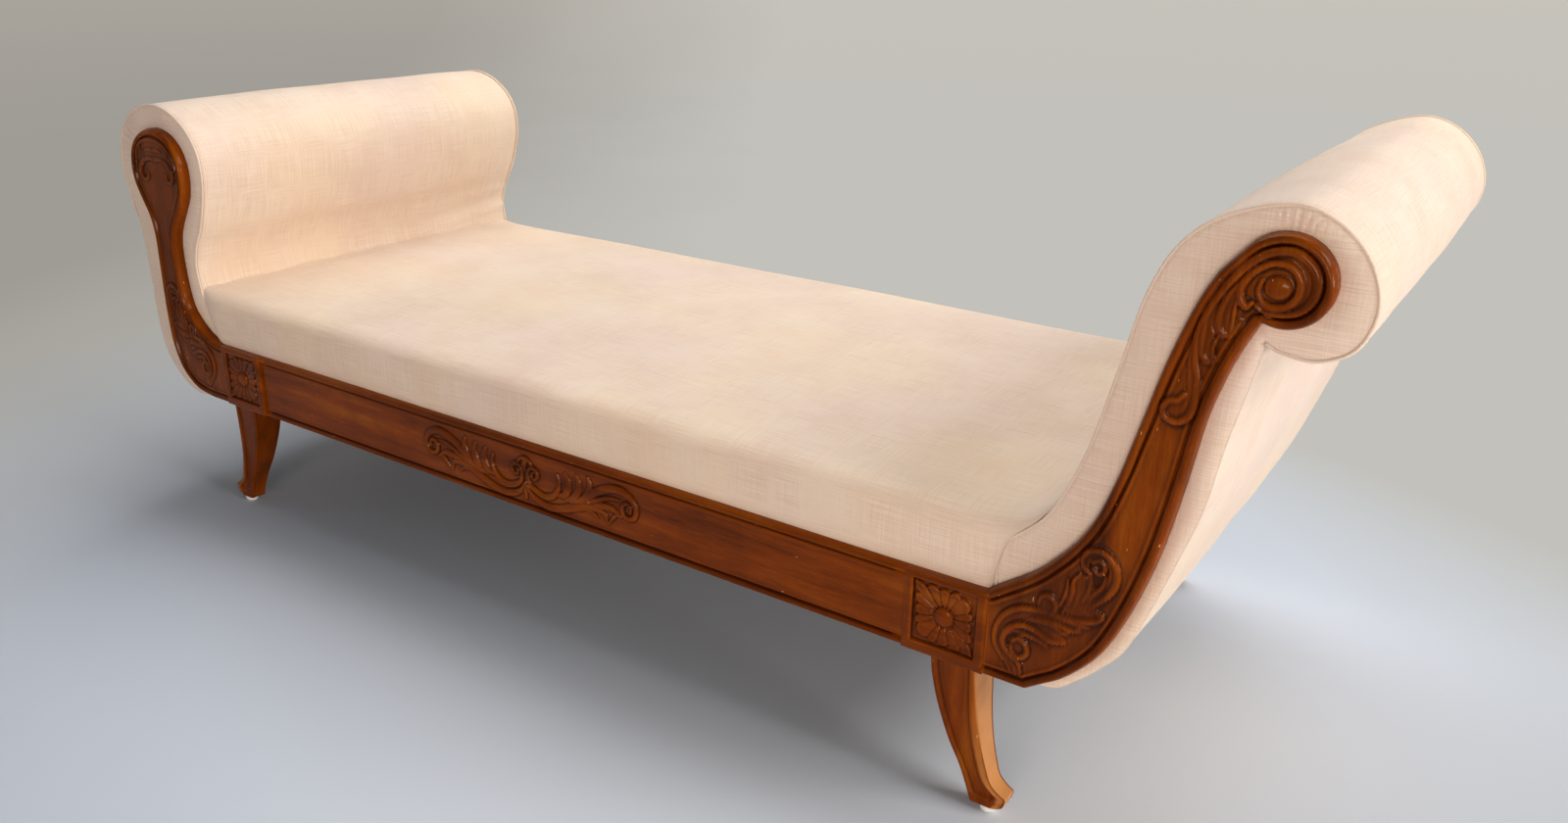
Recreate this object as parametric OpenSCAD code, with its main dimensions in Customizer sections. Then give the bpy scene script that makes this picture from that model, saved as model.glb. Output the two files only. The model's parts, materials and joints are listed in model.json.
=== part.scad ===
// Fainting couch: a carved show-wood frame on four sabre legs, with two
// upholstered scroll ends and a webbed and padded seat.
// X runs along the couch, Y from its front to its back, Z up from the floor.
// The origin is on the floor, under the middle of the couch's outer box.

/* [Seat frame] */
// Length of the seat rails between the corner blocks
rail_len = 1365; // [1100:5:1700]
// Height of the front and back rails
rail_h = 116; // [100:1:140]
// Thickness of the front and back rails
rail_t = 30; // [26:1:40]
// Height of the rails' underside above the floor
rail_z = 218; // [180:1:280]
// Depth of the couch from its front carved face to its back one
depth = 828; // [640:2:1000]
// Width of a corner block, seen from the front
block_w = 116.5; // [100:0.5:140]
// Depth of a corner block, from its carved face inwards
block_d = 90; // [80:1:110]
// How far a corner block stands in front of the rail
block_proud = 3; // [1:0.5:6]
// Width of the bead along the rail's edges
bead_w = 14; // [8:1:20]
// Depth of the carved fields behind the beads
field_sink = 4; // [2:0.5:6]
// Width of the show wood in front of the upholstery
show_w = 16; // [12:1:22]
// Depth of the rebate that the upholstery is tacked in
rebate_h = 8; // [5:1:12]
// Thickness of the rails that join the front and the back at each end
end_rail_t = 30; // [24:1:40]
// Radius of the round boss in a corner block's rosette
boss_r = 14; // [8:1:20]

/* [Frame joints] */
// Diameter of the dowels
dowel_d = 10; // [8:1:12]
// Length of the dowels
dowel_l = 60; // [40:2:70]
// Width of a seat brace
brace_w = 45; // [30:1:60]
// Height of a seat brace
brace_h = 60; // [40:1:70]
// Depth of the housings that hold the seat braces
brace_housing = 8; // [5:1:12]
// Length of a glue block's two square sides
glue_leg = 55; // [45:1:57]
// Height of a glue block
glue_h = 80; // [60:1:90]
// Diameter of the wood screws
screw_d = 4; // [3:0.5:5]
// Diameter of a wood screw's head
screw_head_d = 8; // [7:0.5:10]
// Thickness of a wood screw's head
screw_head_t = 2.5; // [2:0.5:3]
// Depth that a wood screw bites into the second piece
screw_bite = 14; // [8:1:16]
// Radial clearance around a screw's shank
screw_gap = 0.1; // [0:0.05:0.3]

/* [Legs] */
// Sideways reach of a leg, from its inner edge at the top to its toe
leg_sweep = 116; // [90:1:130]
// How far the leg's inner top edge lies inside the block's outer side
leg_in = 74; // [66:1:90]
// Depth of a leg at the top
leg_d = 60; // [50:1:75]
// Depth of a leg at the foot
foot_d = 28; // [26:1:50]
// How far the leg's top lies behind the block's carved face
leg_back = 5; // [2:1:12]
// How far the foot's front lies behind the block's carved face
foot_back = 15; // [8:1:24]
// Width of the beads along a leg's front face
leg_bead = 8; // [5:1:12]
// Depth of the flute in a leg's front face
flute_sink = 3; // [1.5:0.5:5]
// Diameter of a floor glide
glide_d = 25; // [18:1:32]
// Height of a floor glide
glide_h = 12; // [8:1:16]
// Diameter of the flat that a glide stands on
glide_flat_d = 18; // [12:1:20]
// Diameter of a glide's nail
glide_nail_d = 2.5; // [2:0.5:4]
// Length of a glide's nail inside the leg
glide_nail_l = 18; // [12:1:24]
// Distance of a glide's centre outside the corner block's outer side
glide_out = 15; // [8:1:20]

/* [Scroll ends] */
// Reach of the right end beyond its corner block
reach_right = 369; // [300:1:420]
// Height of the right end above the rails' underside
rise_right = 633; // [540:1:700]
// Reach of the left end beyond its corner block
reach_left = 267; // [240:1:320]
// Height of the left end above the rails' underside
rise_left = 552; // [480:1:620]
// Thickness of a carved arm facing
facing_t = 20; // [16:1:26]
// Width of the bead around a facing's carved field
facing_bead = 12; // [8:1:15]
// Largest radius of the right facing's volute
volute_r = 52; // [44:1:58]
// Radius at which the volute's rim closes
volute_close_r = 43.5; // [38:0.5:50]
// Radius of the volute's eye
volute_eye_r = 12; // [8:1:16]
// Thickness of a scroll board
board_t = 22; // [18:1:28]
// Width of a scroll slat
slat_w = 24; // [18:1:26]
// Thickness of a scroll slat
slat_t = 10; // [8:1:14]
// Depth of the slats' outer faces below the scroll boards' edge
slat_sink = 2; // [1:0.5:4]
// Thickness of the rail at the foot of a scroll end
base_rail_t = 22; // [18:1:28]
// Height of the rail at the foot of a scroll end
base_rail_h = 72; // [50:1:80]

/* [Upholstery] */
// Height of the seat's crown above the rails' top
seat_h = 102; // [80:1:130]
// Share of the seat's height that it loses towards its ends
seat_drop_share = 0.05; // [0:0.01:0.12]
// Thickness of the cover with its wadding
cover_t = 2; // [1:0.25:3]
// Thickness of the padding around the scroll boards
pad_t = 16; // [10:1:20]
// How far the covers are drawn in at their seams
seam_draw = 4; // [2:0.5:6]
// Width of the rounding beside a seam
seam_round = 26; // [15:1:40]
// Diameter of the welt cord along the seams
welt_d = 4.4; // [3:0.2:6]
// Clearance between soft pieces
soft_gap = 0.3; // [0.2:0.05:0.5]
// Thickness of the fabric on the end faces
panel_t = 2; // [1:0.25:3]
// Width of a webbing strap
web_w = 50; // [40:1:60]
// Thickness of a webbing strap
web_t = 1.5; // [1:0.25:2]
// Least gap between neighbouring webbing straps
web_gap = 30; // [20:1:60]
// Thickness of the hessian over the webbing
hessian_t = 1; // [0.5:0.25:1.5]
// Thickness of the dust cover under the seat
dust_t = 1; // [0.5:0.25:1.5]
// Diameter of an upholstery tack's head
tack_d = 8; // [6:0.5:10]
// Thickness of an upholstery tack's head
tack_t = 1.2; // [0.8:0.1:1.6]
// Diameter of an upholstery tack's pin
tack_pin_d = 1.6; // [1:0.1:2]
// Length of an upholstery tack's pin
tack_pin_l = 10; // [6:1:14]
// Distance between neighbouring tacks
tack_pitch = 110; // [80:5:160]

/* [Hidden] */
$fn = 48;
// Overrun that lets a cut pass through a face
over = 1;
// Straight steps between neighbouring points of a smooth outline
steps = 2;
// Rings along the seat, and stations beside each seam of a scroll end
seat_rings = 11;
seam_rings = 4;
// Sides of the welt's tube
welt_sides = 6;
// Straight steps along the volute's rim
volute_steps = 18;

mid_x = (reach_left - reach_right) / 2;
block_in = rail_len / 2;
block_out = block_in + block_w;
face_y = depth / 2;
rail_y = face_y - block_proud;
end_y = face_y - facing_t - panel_t;
seat_y = face_y - show_w;
rail_top = rail_z + rail_h;
rebate_z = rail_top - rebate_h;
foam_z = rebate_z + 2 * web_t + hessian_t;
board_depth = seam_draw + cover_t + soft_gap + pad_t;
base_rail_z = rail_z + board_depth + facing_bead / 2;
brace_z = rail_z + (rail_h - rebate_h - brace_h) / 2;
glue_z = rail_z + (rail_h - rebate_h - glue_h) / 2;
// Distance of a glue block's screws from its square corner
glue_seat = glue_leg / 3;

// Each outline's points are shares of the end's reach and rise, measured
// outwards from the corner block and up from the rails' underside.
inside_right_shares = [
    [0, .188], [0, .240], [.024, .291], [.089, .327], [.154, .367], [.220, .445], [.274, .540],
    [.333, .690], [.382, .817], [.458, .912], [.577, .970], [.745, 1], [.870, .979], [.963, .924],
    [1, .852], [.963, .785], [.870, .754], [.775, .758], [.729, .769]];
outside_right_shares = [
    [.729, .769], [.713, .706], [.669, .580], [.637, .461], [.585, .351], [.523, .237],
    [.462, .140], [.395, .088], [.310, .038], [.225, .006], [.010, .001]];
inside_left_shares = [
    [.086, .219], [.139, .250], [.191, .303], [.240, .384], [.258, .460], [.217, .533],
    [.131, .605], [.056, .696], [.019, .783], [.041, .868], [.146, .937], [.322, .986],
    [.509, 1], [.715, .978], [.903, .913], [1, .795], [.963, .674], [.921, .600]];
outside_left_shares = [
    [.921, .600], [.888, .510], [.884, .366], [.880, .212], [.820, .095], [.655, .011],
    [.472, -.020], [.266, -.008], [.015, .002]];
facing_outer_right_shares = [
    [.157, 0], [.220, .025], [.282, .051], [.363, .101], [.420, .155], [.480, .245], [.531, .351],
    [.564, .450], [.588, .540], [.612, .632], [.650, .714], [.686, .769], [.718, .809]];
facing_inner_right_shares = [
    [.585, .880], [.545, .833], [.504, .766], [.469, .698], [.436, .619], [.409, .556],
    [.382, .493], [.333, .406], [.274, .340], [.198, .284], [.125, .243], [0, .190]];
volute_shares = [.756, .875];
facing_left_shares = [
    [.191, 0], [.378, .016], [.528, .071], [.607, .158], [.625, .248], [.625, .348], [.614, .475],
    [.610, .556], [.637, .620], [.697, .674], [.753, .732], [.764, .792], [.723, .855],
    [.622, .902], [.483, .924], [.341, .913], [.232, .877], [.172, .822], [.165, .764],
    [.195, .707], [.258, .656], [.326, .607], [.375, .556], [.393, .493], [.386, .402],
    [.360, .328], [.300, .283], [.206, .243], [.101, .217], [0, .208]];
facing_screw_right_shares = [[.160, .095], [.400, .340], [.526, .632], [.756, .875]];
facing_screw_left_shares = [[.225, .090], [.450, .250], [.498, .453], [.464, .797]];
// The volute's rim runs through these angles
volute_from = -107;
volute_to = 139;
// Outline points that carry a slat, as shares of their number
slat_inside_right_shares = [.167, .278, .333, .389, .444, .556, .611, .667, .722, .778, .833];
slat_outside_right_shares = [.1, .3, .5, .7];
slat_inside_left_shares = [.176, .294, .412, .529, .647, .706, .765, .824, .882];
slat_outside_left_shares = [.125, .375, .625, .875];
// Shares of a leg's sweep and of its height above the glide
leg_inner_shares = [[.57, 0], [.42, .235], [.25, .43], [.10, .67], [.02, .87], [0, 1]];
leg_outer_shares = [[.552, 1], [.57, .84], [.61, .62], [.67, .43], [.75, .27], [.80, .20]];
toe_shares = [[1, .10], [.94, 0]];
// Where the leg stops curving in depth, as a share of its height
foot_share = .08;
// Shares of the seat's half depth, inwards from its front, and of its height
seat_edge_shares = [
    [0, 0], [-.010, .30], [-.004, .58], [.020, .77], [.065, .885], [.15, .94], [.33, .972],
    [.66, .993], [1, 1]];
// Places of the seat braces as shares of the rails' length
brace_shares = [-.31, 0, .31];
// Heights of the dowels as shares of the rails' height
dowel_shares = [.28, .70];
// Places of the base rail's screws as shares of the end rail's length
base_screw_shares = [-.4, -.15, .15, .4];

// Middle of a right front leg's top, and of its glide
leg_mid = [block_out - leg_in + leg_sweep * leg_outer_shares[0][0] / 2,
    -face_y + leg_back + leg_d / 2];
glide_at = [block_out + glide_out, -face_y + foot_back + foot_d / 2];

// Point on the smooth curve between b and c, whose neighbours are a and d
function bend(a, b, c, d, t) =
    (2 * b + (c - a) * t + (2 * a - 5 * b + 4 * c - d) * t * t
        + (3 * b - a - 3 * c + d) * t * t * t) / 2;
// Smooth run through a list of points
function smooth(p) = [
    for (i = [0 : len(p) - 2]) for (k = [0 : steps - 1])
        bend(p[max(i - 1, 0)], p[i], p[i + 1], p[min(i + 2, len(p) - 1)], k / steps),
    p[len(p) - 1]];
// Points of a list of shares in a box of width w and height h
function sized(shares, w, h) = [for (s = shares) [s[0] * w, s[1] * h]];
// Unit normal to the right of a run at its point i
function right_of(p, i) =
    let (d = p[min(i + 1, len(p) - 1)] - p[max(i - 1, 0)]) [d[1], -d[0]] / norm(d);
// A run moved sideways, to its right where d is positive
function moved(p, d) = [for (i = [0 : len(p) - 1]) p[i] + d * right_of(p, i)];
function reversed(p) = [for (i = [len(p) - 1 : -1 : 0]) p[i]];
function last(p) = p[len(p) - 1];
function but_last(p) = [for (i = [0 : len(p) - 2]) p[i]];

function reach(left) = left ? reach_left : reach_right;
function rise(left) = left ? rise_left : rise_right;
function inside_run(left) =
    smooth(sized(left ? inside_left_shares : inside_right_shares, reach(left), rise(left)));
function outside_run(left) =
    smooth(sized(left ? outside_left_shares : outside_right_shares, reach(left), rise(left)));
function wrap_run(left) =
    concat(inside_run(left), [for (i = [1 : len(outside_run(left)) - 1]) outside_run(left)[i]]);
// Closed outline of a scroll end, drawn in by d along its curved sides
function core(left, d) =
    let (run = wrap_run(left))
    concat([run[0]], moved(run, d), [[0, last(moved(run, d))[1]], [0, run[0][1]]]);
// Distance that the covers are drawn in at a share f of the rounding beside a seam
function drawn(f) = seam_draw * (1 - sin(90 * min(f, 1)));
// Places along the depth where a scroll cover has a ring, and its draw there
seam_stations = [
    for (k = [0 : seam_rings]) let (f = k / seam_rings)
        [-end_y + seam_round * (1 - cos(90 * f)), drawn(1 - cos(90 * f))],
    for (k = [seam_rings : -1 : 0]) let (f = k / seam_rings)
        [end_y - seam_round * (1 - cos(90 * f)), drawn(1 - cos(90 * f))]];

// Places children on the couch, and mirrors them to the back or to the left
module placed(left = false, back = false) {
    translate([mid_x, 0, 0])
    mirror([left ? 1 : 0, 0, 0])
    mirror([0, back ? 1 : 0, 0])
    children();
}

// Places children beside the corner block, level with the rails' underside
module at_end(left = false, back = false) {
    placed(left, back) translate([block_out, 0, rail_z]) children();
}

// Board with an outline in X and Z, from y0 to y1
module slab(outline, y0, y1) {
    translate([0, y1, 0]) rotate([90, 0, 0])
    linear_extrude(height = y1 - y0) polygon(outline);
}

// Bar with a section in Y and Z, from x0 to x1
module bar(section, x0, x1) {
    translate([x0, 0, 0]) rotate([90, 0, 90])
    linear_extrude(height = x1 - x0) polygon(section);
}

// Cylinder of diameter d and length l along X, from its place
module pin_x(d, l) { rotate([0, 90, 0]) cylinder(d = d, h = l); }
// Cylinder of diameter d and length l along Y, from its place
module pin_y(d, l) { rotate([-90, 0, 0]) cylinder(d = d, h = l); }

// Closed solid through rings of equal counts; each end is closed by a ladder
module loft(rings) {
    m = len(rings[0]);
    n = len(rings);
    function ladder(base) = [
        for (j = [0 : floor((m - 1) / 2) - 1])
            each let (a = base + j, b = a + 1, c = base + m - 2 - j, d = c + 1)
                b == c ? [[a, b, d]] : [[a, b, c], [a, c, d]]];
    polyhedron(
        points = [for (r = rings) each r],
        faces = concat(
            [for (i = [0 : n - 2]) for (j = [0 : m - 1])
                each let (a = i * m + j, b = i * m + (j + 1) % m)
                    [[a, a + m, b + m], [a, b + m, b]]],
            ladder(0),
            [for (f = ladder((n - 1) * m)) [f[2], f[1], f[0]]]));
}

// Places children at each joint of a rail with a corner block
module at_rail_dowels() {
    for (side = [-1, 1]) for (s = dowel_shares)
        translate([side * block_in, -rail_y + rail_t / 2, rail_z + s * rail_h]) children();
}

module rail_dowel_cut() {
    at_rail_dowels() translate([-dowel_l / 2, 0, 0]) pin_x(dowel_d, dowel_l);
}

// Places children at each joint of an end rail with a front corner block
module at_end_dowels() {
    for (s = dowel_shares)
        translate([block_out - end_rail_t / 2, -face_y + block_d, rail_z + s * rail_h]) children();
}

module end_dowel_cut() {
    at_end_dowels() translate([0, -dowel_l / 2, 0]) pin_y(dowel_d, dowel_l);
}

// Places children at the two dowels of a right front leg
module at_leg_dowels() {
    for (side = [-1, 1])
        translate([leg_mid[0] + side * dowel_d * 1.5, leg_mid[1] + side * dowel_d, rail_z])
        children();
}

module leg_dowel_cut() {
    at_leg_dowels() translate([0, 0, -dowel_l / 2]) cylinder(d = dowel_d, h = dowel_l);
}

// Places children at each tack of the dust cover, on the frame's underside
module at_tacks() {
    long_count = floor((rail_len - tack_pitch) / tack_pitch);
    for (side = [-1, 1]) for (k = [0 : long_count])
        translate([(k - long_count / 2) * tack_pitch, side * (rail_y - rail_t / 2), rail_z])
        children();
    short_l = 2 * (face_y - block_d);
    short_count = floor((short_l - tack_pitch) / tack_pitch);
    for (side = [-1, 1]) for (k = [0 : short_count])
        translate([side * (block_out - end_rail_t / 2), (k - short_count / 2) * tack_pitch, rail_z])
        children();
}

module tack_cut() {
    at_tacks() translate([0, 0, -over]) cylinder(d = tack_pin_d, h = over + tack_pin_l - dust_t);
}

// Front rail: beads along both edges, a sunk field and a rebate for the cover
module rail(back) {
    y0 = -rail_y;
    y1 = y0 + rail_t;
    color("saddlebrown")
    placed(false, back)
    difference() {
        bar([
            [y0, rail_z], [y0, rail_z + bead_w], [y0 + field_sink, rail_z + bead_w],
            [y0 + field_sink, rail_top - bead_w], [y0, rail_top - bead_w], [y0, rail_top],
            [-seat_y, rail_top], [-seat_y, rebate_z], [y1, rebate_z], [y1, rail_z]],
            -block_in, block_in);
        rail_dowel_cut();
        tack_cut();
        brace_housings();
        at_glue_blocks() glue_screw_rail(screw_gap);
    }
}

// Housings in the front rail that hold the seat braces
module brace_housings() {
    for (s = brace_shares)
        translate([s * rail_len - brace_w / 2, -rail_y + rail_t - brace_housing, brace_z])
        cube([brace_w, brace_housing + over, brace_h]);
}

// Corner block: a raised frame around a sunk field with the rosette's boss
module corner_block(left, back) {
    field = block_w - 2 * bead_w;
    color("sienna")
    placed(left, back)
    difference() {
        union() {
            difference() {
                translate([block_in, -face_y, rail_z]) cube([block_w, block_d, rail_h]);
                translate([block_in + bead_w, -face_y - over, rail_z + bead_w])
                cube([field, over + field_sink, rail_h - 2 * bead_w]);
                translate([block_in - over, -seat_y, rebate_z])
                cube([block_w + 2 * over, block_d, rebate_h + over]);
            }
            intersection() {
                translate([block_in + block_w / 2, -face_y + field_sink + boss_r / 2, rail_z])
                translate([0, 0, rail_h / 2]) sphere(r = boss_r);
                translate([block_in, -face_y, rail_z]) cube([block_w, block_d, rail_h]);
            }
        }
        rail_dowel_cut();
        end_dowel_cut();
        leg_dowel_cut();
        at_glue_blocks() glue_screw_block(screw_gap);
    }
}

// Sabre leg: a curved profile cut from a board that tapers towards the foot
module leg(left, back) {
    leg_h = rail_z - glide_h;
    x0 = block_out - leg_in;
    inner = smooth(sized(leg_inner_shares, leg_sweep, leg_h));
    outer = smooth(sized(leg_outer_shares, leg_sweep, leg_h));
    y0 = -face_y + leg_back;
    y1 = y0 + leg_d;
    front_in = foot_back - leg_back;
    foot_y1 = -face_y + foot_back + foot_d;
    foot_z = glide_h + foot_share * leg_h;
    color("peru")
    placed(left, back)
    difference() {
        intersection() {
            translate([x0, 0, glide_h])
            slab(concat(inner, outer, sized(toe_shares, leg_sweep, leg_h)), y0, y1);
            bar([
                [y0, rail_z], [y0 + front_in, foot_z], [y0 + front_in, glide_h],
                [foot_y1, glide_h], [foot_y1, foot_z], [y1, rail_z]],
                x0, x0 + leg_sweep);
        }
        intersection() {
            translate([x0, 0, glide_h])
            slab(concat(moved(inner, leg_bead), moved(outer, leg_bead)), y0 - over, y1);
            bar([
                [y0 + flute_sink, rail_z + over], [y0 + front_in + flute_sink, foot_z],
                [y0 - over, foot_z], [y0 - over, rail_z + over]],
                x0, x0 + leg_sweep);
        }
        leg_dowel_cut();
        translate([glide_at[0], glide_at[1], glide_h - over])
        cylinder(d = glide_nail_d, h = glide_nail_l + over);
    }
}

// Places children at every corner of the couch
module at_corners() {
    for (left = [false, true]) for (back = [false, true]) placed(left, back) children();
}

module floor_glides() {
    color("white")
    at_corners() translate([glide_at[0], glide_at[1], 0])
    difference() {
        rotate_extrude()
        polygon([
            [0, 0], [glide_flat_d / 2, 0], [glide_d / 2, (glide_d - glide_flat_d) / 2],
            [glide_d / 2, glide_h], [0, glide_h]]);
        translate([0, 0, glide_h / 2]) cylinder(d = glide_nail_d, h = glide_h);
    }
}

module glide_nails() {
    color("silver")
    at_corners() translate([glide_at[0], glide_at[1], glide_h / 2])
    cylinder(d = glide_nail_d, h = glide_h / 2 + glide_nail_l);
}

module leg_dowels() {
    color("burlywood") at_corners() leg_dowel_cut();
}

module rail_dowels() {
    color("burlywood") for (back = [false, true]) placed(false, back) rail_dowel_cut();
}

module end_rail_dowels() {
    color("burlywood") at_corners() end_dowel_cut();
}

// Rail between the front and the back corner block of one end
module end_rail(left) {
    y1 = face_y - block_d;
    color("tan")
    placed(left)
    difference() {
        translate([block_out - end_rail_t, -y1, rail_z])
        cube([end_rail_t, 2 * y1, rebate_z + web_t - rail_z]);
        for (back = [false, true]) mirror([0, back ? 1 : 0, 0]) end_dowel_cut();
        tack_cut();
        base_screw_cut();
    }
}

// Cross brace under the seat, housed in both long rails
module seat_brace(share) {
    l = 2 * (rail_y - rail_t + brace_housing);
    color("tan")
    placed() translate([share * rail_len - brace_w / 2, -l / 2, brace_z]) cube([brace_w, l, brace_h]);
}

// Places children at the inner corner of the front rail and each corner block
module at_glue_blocks() {
    for (left = [false, true]) mirror([left ? 1 : 0, 0, 0])
        translate([block_in, -rail_y + rail_t, glue_z]) children();
}

// Wood screw from a glue block into the rail, with a clearance around it
module glue_screw_rail(gap) {
    translate([-glue_seat, -screw_bite, glue_h / 3])
    pin_y(screw_d + 2 * gap, screw_bite + glue_seat);
}

// Wood screw from a glue block into the corner block, with a clearance around it
module glue_screw_block(gap) {
    translate([-glue_seat, glue_seat, 2 * glue_h / 3])
    pin_x(screw_d + 2 * gap, screw_bite + glue_seat);
}

// Triangular glue block, counterbored for a screw into each neighbour
module glue_block(left, back) {
    color("tan")
    placed(left, back)
    translate([block_in, -rail_y + rail_t, glue_z])
    difference() {
        linear_extrude(height = glue_h) polygon([[0, 0], [-glue_leg, 0], [0, glue_leg]]);
        glue_screw_rail(screw_gap);
        glue_screw_block(screw_gap);
        translate([-glue_seat, glue_seat, glue_h / 3]) pin_y(screw_head_d + 2 * screw_gap, glue_leg);
        translate([-glue_seat, glue_seat, 2 * glue_h / 3])
        rotate([0, -90, 0]) cylinder(d = screw_head_d + 2 * screw_gap, h = glue_leg);
    }
}

module glue_block_screws() {
    color("silver")
    for (back = [false, true]) placed(false, back)
    at_glue_blocks() {
        glue_screw_rail(0);
        translate([-glue_seat, glue_seat, glue_h / 3]) pin_y(screw_head_d, screw_head_t);
        glue_screw_block(0);
        translate([-glue_seat, glue_seat, 2 * glue_h / 3])
        rotate([0, -90, 0]) cylinder(d = screw_head_d, h = screw_head_t);
    }
}

// Places children at the screws that hold a facing on its scroll board
module at_facing_screws(left) {
    for (p = sized(left ? facing_screw_left_shares : facing_screw_right_shares, reach(left), rise(left)))
        translate([p[0], -end_y + board_t, p[1]]) children();
}

module facing_screw(left, gap) {
    l = board_t + panel_t + screw_bite;
    at_facing_screws(left) translate([0, -l, 0]) pin_y(screw_d + 2 * gap, l);
}

// Closed outline of a facing, and the sunk field inside its bead
function facing_outline(left) =
    left
    ? concat([[0, 0]], smooth(sized(facing_left_shares, reach_left, rise_left)))
    : concat(
        [[0, 0]],
        smooth(sized(facing_outer_right_shares, reach_right, rise_right)),
        [for (k = [0 : volute_steps])
            volute_rim(volute_from + (volute_to - volute_from) * k / volute_steps)],
        smooth(sized(facing_inner_right_shares, reach_right, rise_right)));
function facing_field(left) =
    left
    ? concat(
        [[facing_bead / 2, facing_bead]],
        but_last(moved(smooth(sized(facing_left_shares, reach_left, rise_left)), -facing_bead)),
        [[facing_bead / 2, rail_h - facing_bead]])
    : concat(
        [[facing_bead / 2, facing_bead]],
        moved(smooth(sized(facing_outer_right_shares, reach_right, rise_right)), -facing_bead),
        moved(smooth(sized(facing_inner_right_shares, reach_right, rise_right)), -facing_bead),
        [[facing_bead / 2, rail_h - facing_bead]]);
// Point of the volute's rim at angle a: its radius swells over half a turn
function volute_rim(a) =
    let (r = volute_close_r + (volute_r - volute_close_r) * sin((a - volute_from) / 2),
        c = sized([volute_shares], reach_right, rise_right)[0])
    c + r * [cos(a), sin(a)];

// Carved facing of a scroll end, with its sunk field and the volute's grooves
module arm_facing(left, back) {
    eye = sized([volute_shares], reach_right, rise_right)[0];
    groove_y = -face_y + field_sink;
    color("saddlebrown")
    at_end(left, back)
    difference() {
        slab(facing_outline(left), -face_y, -face_y + facing_t);
        slab(facing_field(left), -face_y - over, groove_y);
        if (!left) for (r = [volute_eye_r * 1.5, volute_close_r - facing_bead / 2])
            translate([eye[0], -face_y - over, eye[1]])
            difference() {
                pin_y(2 * r, over + field_sink);
                pin_y(2 * (r - facing_bead / 2), over + field_sink);
            }
        facing_screw(left, screw_gap);
    }
}

// Board that gives a scroll end its shape, behind the end face
module scroll_board(left, back) {
    color("wheat")
    at_end(left, back)
    difference() {
        slab(core(left, board_depth), -end_y, -end_y + board_t);
        facing_screw(left, screw_gap);
    }
}

module facing_screws() {
    color("silver")
    for (left = [false, true]) for (back = [false, true]) at_end(left, back) {
        facing_screw(left, 0);
        at_facing_screws(left) pin_y(screw_head_d, screw_head_t);
    }
}

// Rail at the foot of a scroll end, between its boards and on the end rail
module base_rail(left) {
    y1 = end_y - board_t;
    color("wheat")
    placed(left)
    difference() {
        translate([block_out, -y1, base_rail_z]) cube([base_rail_t, 2 * y1, base_rail_h]);
        base_screw_cut();
    }
}

// Places children at the outer side of the base rail's screws
module at_base_screws() {
    for (s = base_screw_shares)
        translate([block_out + base_rail_t, s * 2 * (face_y - block_d), base_rail_z + base_rail_h / 2])
        children();
}

module base_screw(gap) {
    l = base_rail_t + screw_bite;
    at_base_screws() translate([-l, 0, 0]) pin_x(screw_d + 2 * gap, l);
}
module base_screw_cut() { base_screw(screw_gap); }

module base_rail_screws() {
    color("silver")
    for (left = [false, true]) placed(left) {
        base_screw(0);
        at_base_screws() pin_x(screw_head_d, screw_head_t);
    }
}

// Slats from board to board along one run, at these shares of its points
module slats_on(run, shares) {
    l = 2 * (end_y - board_t);
    for (s = shares) {
        i = round(s * (len(run) - 1));
        n = right_of(run, i);
        c = run[i] + (board_depth + slat_sink + slat_t / 2) * n;
        translate([c[0], 0, c[1]]) rotate([0, atan2(-n[1], n[0]), 0])
        cube([slat_t, l, slat_w], center = true);
    }
}

module scroll_slats(left) {
    color("burlywood")
    at_end(left) {
        slats_on(inside_run(left), left ? slat_inside_left_shares : slat_inside_right_shares);
        slats_on(outside_run(left), left ? slat_outside_left_shares : slat_outside_right_shares);
    }
}

// Band of padding between the scroll boards' edge and the covers
module end_padding(left) {
    run = wrap_run(left);
    color("ivory")
    at_end(left)
    slab(concat(moved(run, board_depth - pad_t), reversed(moved(run, board_depth))), -end_y, end_y);
}

// Fabric over a run of the scroll end, drawn in at the seams
module scroll_cover(run) {
    loft([for (s = seam_stations)
        [for (p = concat(moved(run, s[1]), reversed(moved(run, s[1] + cover_t)))) [p[0], s[0], p[1]]]]);
}

module inside_cover(left) {
    color("bisque") at_end(left) scroll_cover(inside_run(left));
}

module outside_cover(left) {
    color("bisque") at_end(left) scroll_cover(outside_run(left));
}

// Fabric on the flat end face, behind the carved facing
module face_panel(left, back) {
    color("bisque")
    at_end(left, back)
    difference() {
        slab(core(left, seam_draw), -end_y - panel_t, -end_y);
        facing_screw(left, screw_gap);
    }
}

// Round cord along the seam between the end face and the scroll's fabric
module welt(left, back) {
    r = welt_d / 2;
    run = inside_run(left);
    middle = moved(run, seam_draw - r - soft_gap);
    color("antiquewhite")
    at_end(left, back)
    loft([for (i = [0 : len(run) - 1]) let (n = right_of(run, i))
        [for (k = [0 : welt_sides - 1]) let (a = -360 * k / welt_sides)
            let (q = middle[i] + r * cos(a) * n) [q[0], -end_y - panel_t / 2 + r * sin(a), q[1]]]]);
}

// Straps of webbing side by side in one layer: n straps over a width w
function strap_count(w) = floor((w + web_gap) / (web_w + web_gap));

module webbing_across() {
    w = 2 * (block_out - end_rail_t) - web_gap;
    n = strap_count(w);
    l = 2 * (seat_y - cover_t - soft_gap);
    color("tan")
    placed() for (k = [0 : n - 1])
        translate([-w / 2 + k * (w - web_w) / (n - 1), -l / 2, rebate_z]) cube([web_w, l, web_t]);
}

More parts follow.
